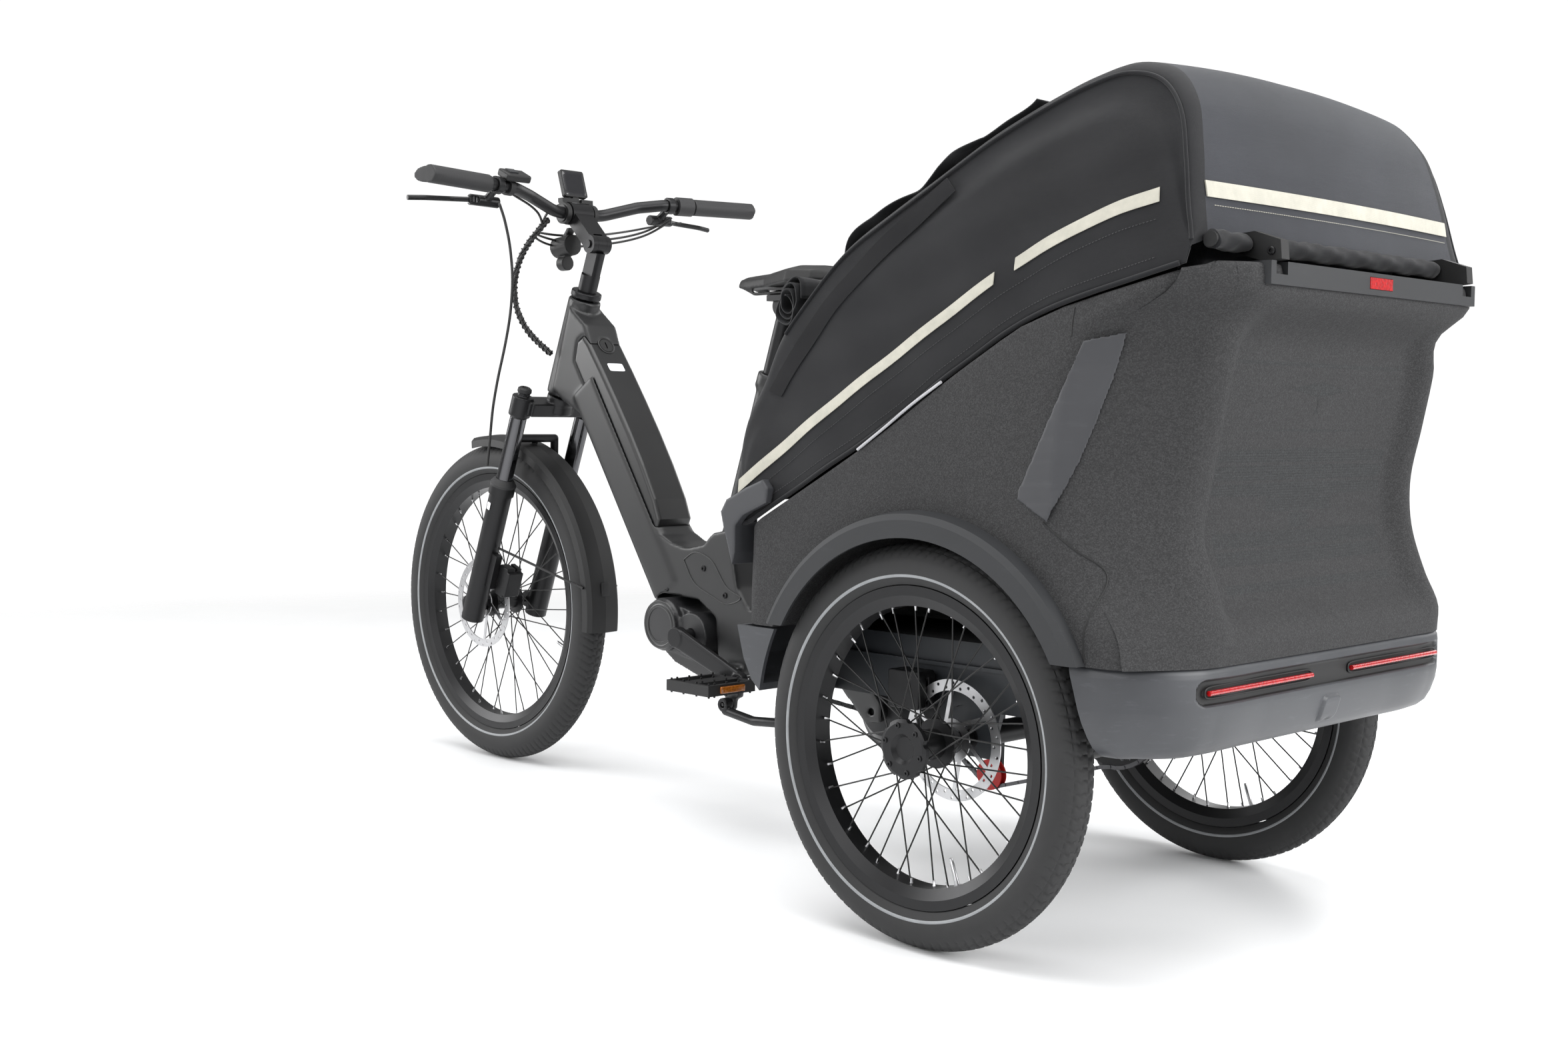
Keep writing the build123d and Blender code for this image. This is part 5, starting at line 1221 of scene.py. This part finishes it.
# ------------------------------------------------------------------ bench cushions
def swollen(name, corner_low, corner_high, tilt=0.0, channels=(), axis=2):
    """Foam cushion in a sewn cover, swollen by a short cloth simulation."""
    lo, hi = Vector(corner_low), Vector(corner_high)
    mesh = bpy.data.meshes.new(name)
    bm = bmesh.new()
    bmesh.ops.create_cube(bm, size=1.0)
    size = (hi - lo) * 0.97
    mid = (lo + hi) / 2
    bmesh.ops.scale(bm, vec=size, verts=bm.verts)
    bm.to_mesh(mesh)
    bm.free()
    obj = linked(name, mesh)
    bevel = obj.modifiers.new("bevel", "BEVEL")
    bevel.width = 0.014
    bevel.segments = 4
    remesh = obj.modifiers.new("remesh", "REMESH")
    remesh.mode = "VOXEL"
    remesh.voxel_size = 0.0085
    apply_mods(obj)
    start = np.array([v.co[:] for v in obj.data.vertices])
    sim = obj.modifiers.new("cloth", "CLOTH")
    sim.settings.use_pressure = True
    sim.settings.uniform_pressure_force = 4
    sim.settings.effector_weights.gravity = 0
    sim.settings.quality = 4
    for f in range(1, 13):
        bpy.context.scene.frame_set(f)
    apply_mods(obj)
    bpy.context.scene.frame_set(1)
    now = np.array([v.co[:] for v in obj.data.vertices])
    move = now - start
    far = np.linalg.norm(move, axis=1, keepdims=True)
    now = start + move * np.minimum(1.0, 0.010 / np.maximum(far, 1e-9))
    half = np.array(size) / 2
    for k, v in enumerate(obj.data.vertices):
        p = now[k].copy()
        for place in channels:
            d = abs(p[1] - place)
            if d < 0.016:
                p[axis] -= math.copysign(0.006 * (1 - d / 0.016) ** 2, p[axis])
        crown = 0.006 * (1 - (p[1] / half[1]) ** 2) * (1 if p[axis] > 0 else 0)
        p[axis] += crown
        p = np.clip(p, -half * 1.02, half * 1.02)
        v.co = p
    obj.data.transform(Matrix.Translation(mid) @ Matrix.Rotation(tilt, 4, "Y"))
    sub = obj.modifiers.new("sub", "SUBSURF")
    sub.levels = 1
    apply_mods(obj)
    obj.data.materials.clear()
    obj.data.materials.append(M["seat"])
    obj.data.shade_smooth()
    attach(obj, "rear_chassis")
    return obj


seat_cushion = swollen("seat_cushion", (-0.954, -0.266, 0.602), (-0.642, 0.266, 0.648), 0, (0.0, 0.13, -0.13))
swollen("back_cushion", (-0.985, -0.258, 0.662), (-0.947, 0.258, 0.938), math.radians(-4),
        (0.0, 0.13, -0.13), 0)
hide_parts("bench_pads")

# ------------------------------------------------------------------ carried-over and softened CAD nodes
softened("main_frame", "paint", 0.0030, 14)
softened("fork_upper", "alloy", 0.0018, 5)
softened("saddle", "black", 0.0022, 12)
softened("cranks", "alloy", 0.0016, 5)
softened("drive_unit", "motor", 0.0020, 5)
softened("grips", "rubber", 0.0014, 6)
softened("grab_trims", "insert", 0.0020, 4)
softened("brake_masters", "alloy", 0.0010, 4)
softened("headlight", "black", 0.0012, 3)
softened("rear_calipers", "alloy", 0.0014, 3)
softened("front_caliper", "alloy", 0.0012, 4)
softened("kickstand", "alloy", 0.0014, 4)
for node, key in {
    "wheel_arches": "grey", "rear_trim_strip": "grey", "red_lenses": "red", "side_skirts": "bumper",
    "chassis_frame": "chassis", "rear_axle": "alloy", "tensioner_roller": "red_plastic",
    "canopy_frame": "black", "battery": "satin", "lock_cap": "black", "gear_hub": "alloy",
    "pedal_left": "black", "pedal_right": "black", "seat_post": "alloy", "brake_hose": "hose",
    "fork_lowers": "alloy", "stem_head": "alloy", "stem_base": "alloy", "handlebar": "alloy",
    "remote_body": "black", "display_mount": "black", "display": "black", "twist_shifter": "rubber",
    "brake_lever_left": "alloy", "brake_lever_right": "alloy", "remote_button": "grey",
    "front_mudguard": "black",
}.items():
    give(node, key)

# ------------------------------------------------------------------ hood trims
CROSS_TUBE_X, CROSS_TUBE_Z = -1.053, 0.894


def make_sleeve(name, y_from, y_to):
    """Cloth hem gathered round the rear cross tube."""
    rows, cols = 48, 20
    verts = []
    for r in range(rows):
        y = y_from + (y_to - y_from) * r / (rows - 1)
        for c in range(cols):
            a = 2 * math.pi * c / cols
            radius = 0.0112 + 0.0009 * math.sin(90 * y + 3 * a) + 0.0006 * math.sin(210 * y - 2 * a)
            verts.append((CROSS_TUBE_X + radius * math.cos(a), y, CROSS_TUBE_Z + radius * math.sin(a)))
    faces = grid_faces(rows, cols, close_cols=True)
    faces += [tuple(range(cols)), tuple(range(rows * cols - 1, (rows - 1) * cols - 1, -1))]
    sleeve = piece(name, verts, faces, "hood", "hood")
    flip_outward(sleeve)


make_sleeve("hem_sleeve_middle", -0.2215, 0.2215)
make_sleeve("hem_sleeve_left", 0.2475, 0.314)
make_sleeve("hem_sleeve_right", -0.314, -0.2475)
clamp_bolts = []
for side in (1, -1):
    for x, z in ((CROSS_TUBE_X, CROSS_TUBE_Z), (-1.087, 0.884)):
        clamp_bolts.append(((x, side * 0.2428, z), (0, side, 0)))
turned("hood_clamp_bolts", clamp_bolts, head_profile(0.0048, 0.0035), "alloy", "hood", 16)
hinge_rods = [((-1.084, side * 0.2215, 0.8645), (0, side, 0)) for side in (1, -1)]
turned("hinge_rods", hinge_rods, [(0, 0), (0, 0.0032), (0.026, 0.0032), (0.026, 0)], "steel", "rear_chassis",
       16)

# ------------------------------------------------------------------ frame, battery and drive details
LOCK = Vector(JOINT["lock_turn"]["pos_m"])
LOCK_AXIS = Vector(JOINT["lock_turn"]["axis"]).normalized()
turned("lock_ring", [(tuple(LOCK), tuple(LOCK_AXIS))],
       [(0.0010, 0.0145), (0.0042, 0.0150), (0.0052, 0.0165), (0.0044, 0.0185), (0.0005, 0.0192),
        (0.0005, 0.0145)], "black", "front_frame", 40)
MOTOR = (0.215, 0.325)
turned("motor_cover_ring", [((MOTOR[0], 0.0655, MOTOR[1]), (0, 1, 0))],
       [(0, 0.030), (0.0014, 0.0305), (0.0022, 0.034), (0.0012, 0.0368), (0.0022, 0.0395), (0.0014, 0.0428),
        (-0.001, 0.0438), (-0.001, 0.030)], "satin", "front_frame", 48)


def label_patch(name, centre, along, across, key, body, bulge=0.0005, blunt=9,
                edge=0.93, rings=6, around=40):
    """Thin patch with rounded corners; along and across are its half sides, and it faces along x across."""
    out = along.cross(across).normalized()
    verts = []
    for r in range(rings + 1):
        reach = r / rings
        for k in range(around):
            a = 2 * math.pi * k / around
            ca, sa = math.cos(a), math.sin(a)
            grow = reach * (abs(ca) ** blunt + abs(sa) ** blunt) ** (-1 / blunt)
            lift = bulge * (1 - smooth_step(reach, edge, 1.0))
            verts.append(centre + along * grow * ca + across * grow * sa + out * lift)
    flip_outward(piece(name, verts, grid_faces(rings + 1, around, close_cols=True), key, body))


# directions along the down tube and square to it
SLOPE = Vector((0.5548, 0, 0.8320))
SQUARE = Vector((-0.8320, 0, 0.5548))
label_patch("battery_label", SLOPE * 0.887 + SQUARE * 0.0829, SLOPE * 0.009 - SQUARE * 0.0006,
            Vector((0, 0.018, 0)), "label", "front_frame")
for side, tag in SIDES:
    panel = [(0.179, 0.441), (0.150, 0.456), (0.112, 0.448), (0.062, 0.398), (0.030, 0.384),
             (0.060, 0.372), (0.110, 0.385), (0.150, 0.402)]
    outline, _ = spline_points(panel + [panel[0]], 60)
    tube("side_panel_edge_" + tag, [(x, side * 0.0424, z) for x, z in outline[:-1]], 0.0010, "satin",
         "front_frame", True, 3)
screws = [((x, side * 0.0420, z), (0, side, 0)) for side in (1, -1)
          for x, z in ((0.126, 0.429), (0.070, 0.386), (0.2235, 0.387))]
turned("frame_screws", screws, head_profile(0.0052, 0.0026), "alloy", "front_frame", 20)

# ------------------------------------------------------------------ fork sleeves, seals and mudguard plate
STEER_AXIS = Vector(JOINT["steer"]["axis"]).normalized()
HEAD = Vector(JOINT["steer"]["pos_m"])
FORWARD = Vector((STEER_AXIS.z, 0, -STEER_AXIS.x))
LEG_SHIFT, LEG_Y = 0.018, 0.077


def leg_place(side, w):
    """Point on a fork leg's axis; w is the distance along the steering axis from the head."""
    return HEAD + FORWARD * LEG_SHIFT + Vector((0, side * LEG_Y, 0)) + STEER_AXIS * w


label_patch("fork_label", leg_place(1, -0.437) + Vector((0, 0.0226, 0)), FORWARD * -0.0050,
            STEER_AXIS * 0.0075, "label", "fork_slider", bulge=0.0003)
for name, w, profile, key, body in (
    ("stanchion_sleeves", -0.388, [(0, 0.0157), (0, 0.0161), (0.140, 0.0161), (0.140, 0.0157)],
     "stanchion", "steering"),
    ("fork_wipers", -0.390, [(-0.004, 0.0256), (0.0005, 0.0257), (0.003, 0.0235), (0.008, 0.0205),
                             (0.0105, 0.0172), (0.0105, 0.0164), (0.001, 0.0164)], "rubber", "fork_slider"),
    ("fork_knobs", -0.2005, [(0, 0.0128), (0.002, 0.0138), (0.0075, 0.0132), (0.0100, 0.0100),
                             (0.0100, 0.0060), (0.0085, 0.0055), (0.0085, 0)], "black", "steering"),
):
    legs = [(tuple(leg_place(side, w)), tuple(STEER_AXIS)) for side in (1, -1)]
    turned(name, legs, profile, key, body, 32 if name == "fork_knobs" else 40)
plate_angle = math.radians(172)
plate_r = 0.3376
plate_centre = (FRONT_X + plate_r * math.cos(plate_angle), 0.0, FRONT_R + plate_r * math.sin(plate_angle))

# ------------------------------------------------------------------ cockpit
SCREEN_TILT = math.radians(18)
SCREEN_HALF = 0.0245
screen_out = Vector((-math.cos(SCREEN_TILT), 0, math.sin(SCREEN_TILT)))
screen_up = Vector((math.sin(SCREEN_TILT), 0, math.cos(SCREEN_TILT)))
screen_middle = Vector((0.5575, 0, 1.134)) + screen_out * 0.0044
label_patch("screen_glass", screen_middle, screen_up * SCREEN_HALF, Vector((0, SCREEN_HALF, 0)), "screen",
            "screen", 0.0011, 12, 0.9, 7, 48)

# middle line of the wrapped bundle, from under the stem to the side of the neck
BUNDLE_ROUTE = [
    (0.546, 0.066, 1.062), (0.578, 0.076, 1.034), (0.618, 0.079, 0.996), (0.642, 0.077, 0.948),
    (0.644, 0.071, 0.900), (0.622, 0.061, 0.856), (0.588, 0.049, 0.826), (0.568, 0.043, 0.811),
]


def wound(line, radius, pitch, phase, per_turn=10):
    """Helix of a radius and pitch round a line."""
    s = run_lengths(line)
    count = int(s[-1] / pitch * per_turn)
    route = []
    for k in range(count + 1):
        here = s[-1] * k / count
        p = at_length(here, s, line)
        ahead, behind = at_length(min(s[-1], here + 0.004), s, line), at_length(max(0, here - 0.004), s, line)
        along = Vector(ahead - behind).normalized()
        side = along.cross(Vector((0, 1, 0))).normalized()
        other = along.cross(side)
        a = 2 * math.pi * here / pitch + phase
        route.append(tuple(Vector(p) + (side * math.cos(a) + other * math.sin(a)) * radius))
    return route


def bent_half(name, route, radius, key, sides):
    """Part of the bundle: a bent round bar baked in place, attached to no body."""
    half = tube(name, route, radius, key, None, sides=sides)
    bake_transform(half)
    return half


bundle_line = np.array([v.co[:] for v in curve_mesh(BUNDLE_ROUTE, steps=16).vertices])
for k in range(4):
    route = wound(bundle_line, 0.0031, 0.16, k * math.pi / 2, 12)
    middle = len(route) // 2
    bent_half(f"bundle_upper_{k + 1}", route[:middle + 1], 0.0024, "hose", 3)
    bent_half(f"bundle_lower_{k + 1}", route[middle:], 0.0024, "hose", 3)
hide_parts("cable_bundle")
route = wound(bundle_line, 0.0060, 0.0105, 0.4)
middle = len(route) // 2
bent_half("bundle_wrap_upper", route[:middle + 1], 0.0011, "black", 2)
bent_half("bundle_wrap_lower", route[middle:], 0.0011, "black", 2)
START = BUNDLE_ROUTE[0]
LEADS = {
    "remote_lead": [
        (0.512, 0.205, 1.118), (0.520, 0.186, 1.106), (0.528, 0.150, 1.094), (0.541, 0.108, 1.083),
        (0.552, 0.078, 1.068), (START[0] + 0.010, START[1] + 0.006, START[2] - 0.010)],
    "display_lead": [
        (0.556, 0.008, 1.100), (0.562, 0.030, 1.094), (0.565, 0.052, 1.080), (0.562, 0.066, 1.060),
        (START[0] + 0.018, START[1] + 0.006, START[2] - 0.016)],
    "right_brake_hose": [
        (0.545, -0.262, 1.082), (0.566, -0.215, 1.074), (0.580, -0.150, 1.058), (0.592, -0.070, 1.044),
        (0.596, 0.000, 1.040), (0.588, 0.048, 1.040), (0.574, 0.071, 1.040)],
    "shift_cable_upper": [
        (0.512, -0.205, 1.085), (0.535, -0.185, 1.064), (0.562, -0.140, 1.046), (0.586, -0.070, 1.034),
        (0.594, -0.005, 1.028), (0.588, 0.045, 1.032), (0.576, 0.072, 1.036)],
    "shift_cable_lower": [
        (0.510, -0.202, 1.078), (0.532, -0.180, 1.055), (0.560, -0.132, 1.036), (0.588, -0.062, 1.024),
        (0.600, 0.000, 1.018), (0.596, 0.048, 1.024), (0.580, 0.074, 1.032)],
}
for name, route in LEADS.items():
    tube(name, route, 0.0022, "hose", "bars", sides=3)


def small_block(name, low, high, key, body, bevel):
    """Moulded block with rounded edges."""
    mesh = bpy.data.meshes.new(name)
    bm = bmesh.new()
    bmesh.ops.create_cube(bm, size=1.0)
    bmesh.ops.scale(bm, vec=Vector(high) - Vector(low), verts=bm.verts)
    bmesh.ops.bevel(bm, geom=bm.edges[:], offset=bevel, segments=4, affect="EDGES", profile=0.5)
    bmesh.ops.translate(bm, vec=(Vector(low) + Vector(high)) / 2, verts=bm.verts)
    bm.to_mesh(mesh)
    bm.free()
    mesh.materials.append(M[key])
    mesh.shade_smooth()
    obj = linked(name, mesh)
    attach(obj, body)


for joint, body, tag in (("pedal_left_spin", "pedal_l", "left"), ("pedal_right_spin", "pedal_r", "right")):
    px, py, pz = JOINT[joint]["pos_m"]
    middle = math.copysign(0.153, py)
    for end, where in ((1, "front"), (-1, "rear")):
        x = px + end * 0.0525
        small_block(f"pedal_reflector_{tag}_{where}", (x - 0.0035, middle - 0.026, pz - 0.0055),
                    (x + 0.0035, middle + 0.026, pz + 0.0055), "amber", body, 0.0018)
small_block("mudguard_reflector_plate", (plate_centre[0] - 0.0022, -0.009, plate_centre[2] - 0.013),
            (plate_centre[0] + 0.0022, 0.009, plate_centre[2] + 0.013), "black", "fork_slider",
            0.0015)

# ------------------------------------------------------------------ floor, light, camera
floor = bpy.data.meshes.new("floor")
floor.from_pydata([(-30, -30, 0), (30, -30, 0), (30, 30, 0), (-30, 30, 0)], [], [(0, 1, 2, 3)])
floor_obj = linked("floor", floor)
t = Tree("floor_paint")
t.colour(t.ramp(t.noise(2, 3), [(0.3, (0.86, 0.87, 0.88)), (0.7, (0.92, 0.925, 0.93))]))
t.rough(t.noise(3, 3), 0.35, 0.5)
# the floor fades into the white backdrop between two and a half and four and a half metres out
fade = t.nodes.new("ShaderNodeTexGradient")
fade.gradient_type = "SPHERICAL"
t.link(t.mapped((0.2, 0.2, 0.2)), fade.inputs[0])
t.link(t.ramp(fade.outputs["Fac"], [(0.08, (0, 0, 0)), (0.48, (1, 1, 1))]), t.bsdf.inputs["Alpha"])
floor.materials.append(t.set())

world = bpy.data.worlds.new("studio")
bpy.context.scene.world = world
world.use_nodes = True
backdrop = world.node_tree.nodes["Background"]
backdrop.inputs[0].default_value = (1, 1, 1, 1)
light_path = world.node_tree.nodes.new("ShaderNodeLightPath")
strength = world.node_tree.nodes.new("ShaderNodeMapRange")
# the backdrop is white to the camera and dimmer as a light
strength.inputs["To Min"].default_value = 0.36
strength.inputs["To Max"].default_value = 1.05
world.node_tree.links.new(light_path.outputs["Is Camera Ray"], strength.inputs["Value"])
world.node_tree.links.new(strength.outputs[0], backdrop.inputs[1])
bpy.context.scene.view_settings.view_transform = "Standard"


def area_light(name, place, target, size, power):
    """Rectangular lamp at a place, turned to a target; size in metres, power in watts."""
    data = bpy.data.lights.new(name, "AREA")
    data.shape = "RECTANGLE"
    data.size, data.size_y = size
    data.energy = power
    obj = linked(name, data)
    obj.location = place
    obj.rotation_euler = (Vector(target) - Vector(place)).to_track_quat("-Z", "Y").to_euler()


area_light("overhead", (-0.4, 0.5, 3.6), (-0.2, 0, 0.4), (4.5, 3.5), 185)
area_light("left_wall", (-0.8, 4.4, 2.1), (-0.2, 0, 0.5), (4.5, 2.4), 92)
area_light("rear_wall", (-4.4, -0.8, 2.0), (-0.6, 0, 0.6), (3.5, 2.4), 215)
area_light("front_fill", (3.6, 2.0, 1.8), (0.4, 0, 0.6), (2.5, 2.0), 95)
area_light("right_fill", (-0.2, -4.4, 2.0), (-0.2, 0, 0.5), (4.5, 2.4), 70)

CAMERA_PLACE = (-2.159, 2.047, 0.683)
camera = bpy.data.cameras.new("camera")
camera.lens = 40.24
camera.sensor_width = 36
camera_obj = linked("camera", camera)
yaw, pitch, roll = math.radians(-43.89), math.radians(-3.26), math.radians(0.4)
look = Vector((math.cos(yaw) * math.cos(pitch), math.sin(yaw) * math.cos(pitch), math.sin(pitch)))
right = Vector((math.sin(yaw), -math.cos(yaw), 0))
up = right.cross(look)
right, up = right * math.cos(roll) + up * math.sin(roll), up * math.cos(roll) - right * math.sin(roll)
turn = Matrix((right, up, -look)).transposed().to_4x4()
camera_obj.matrix_world = Matrix.Translation(CAMERA_PLACE) @ turn
bpy.context.scene.camera = camera_obj
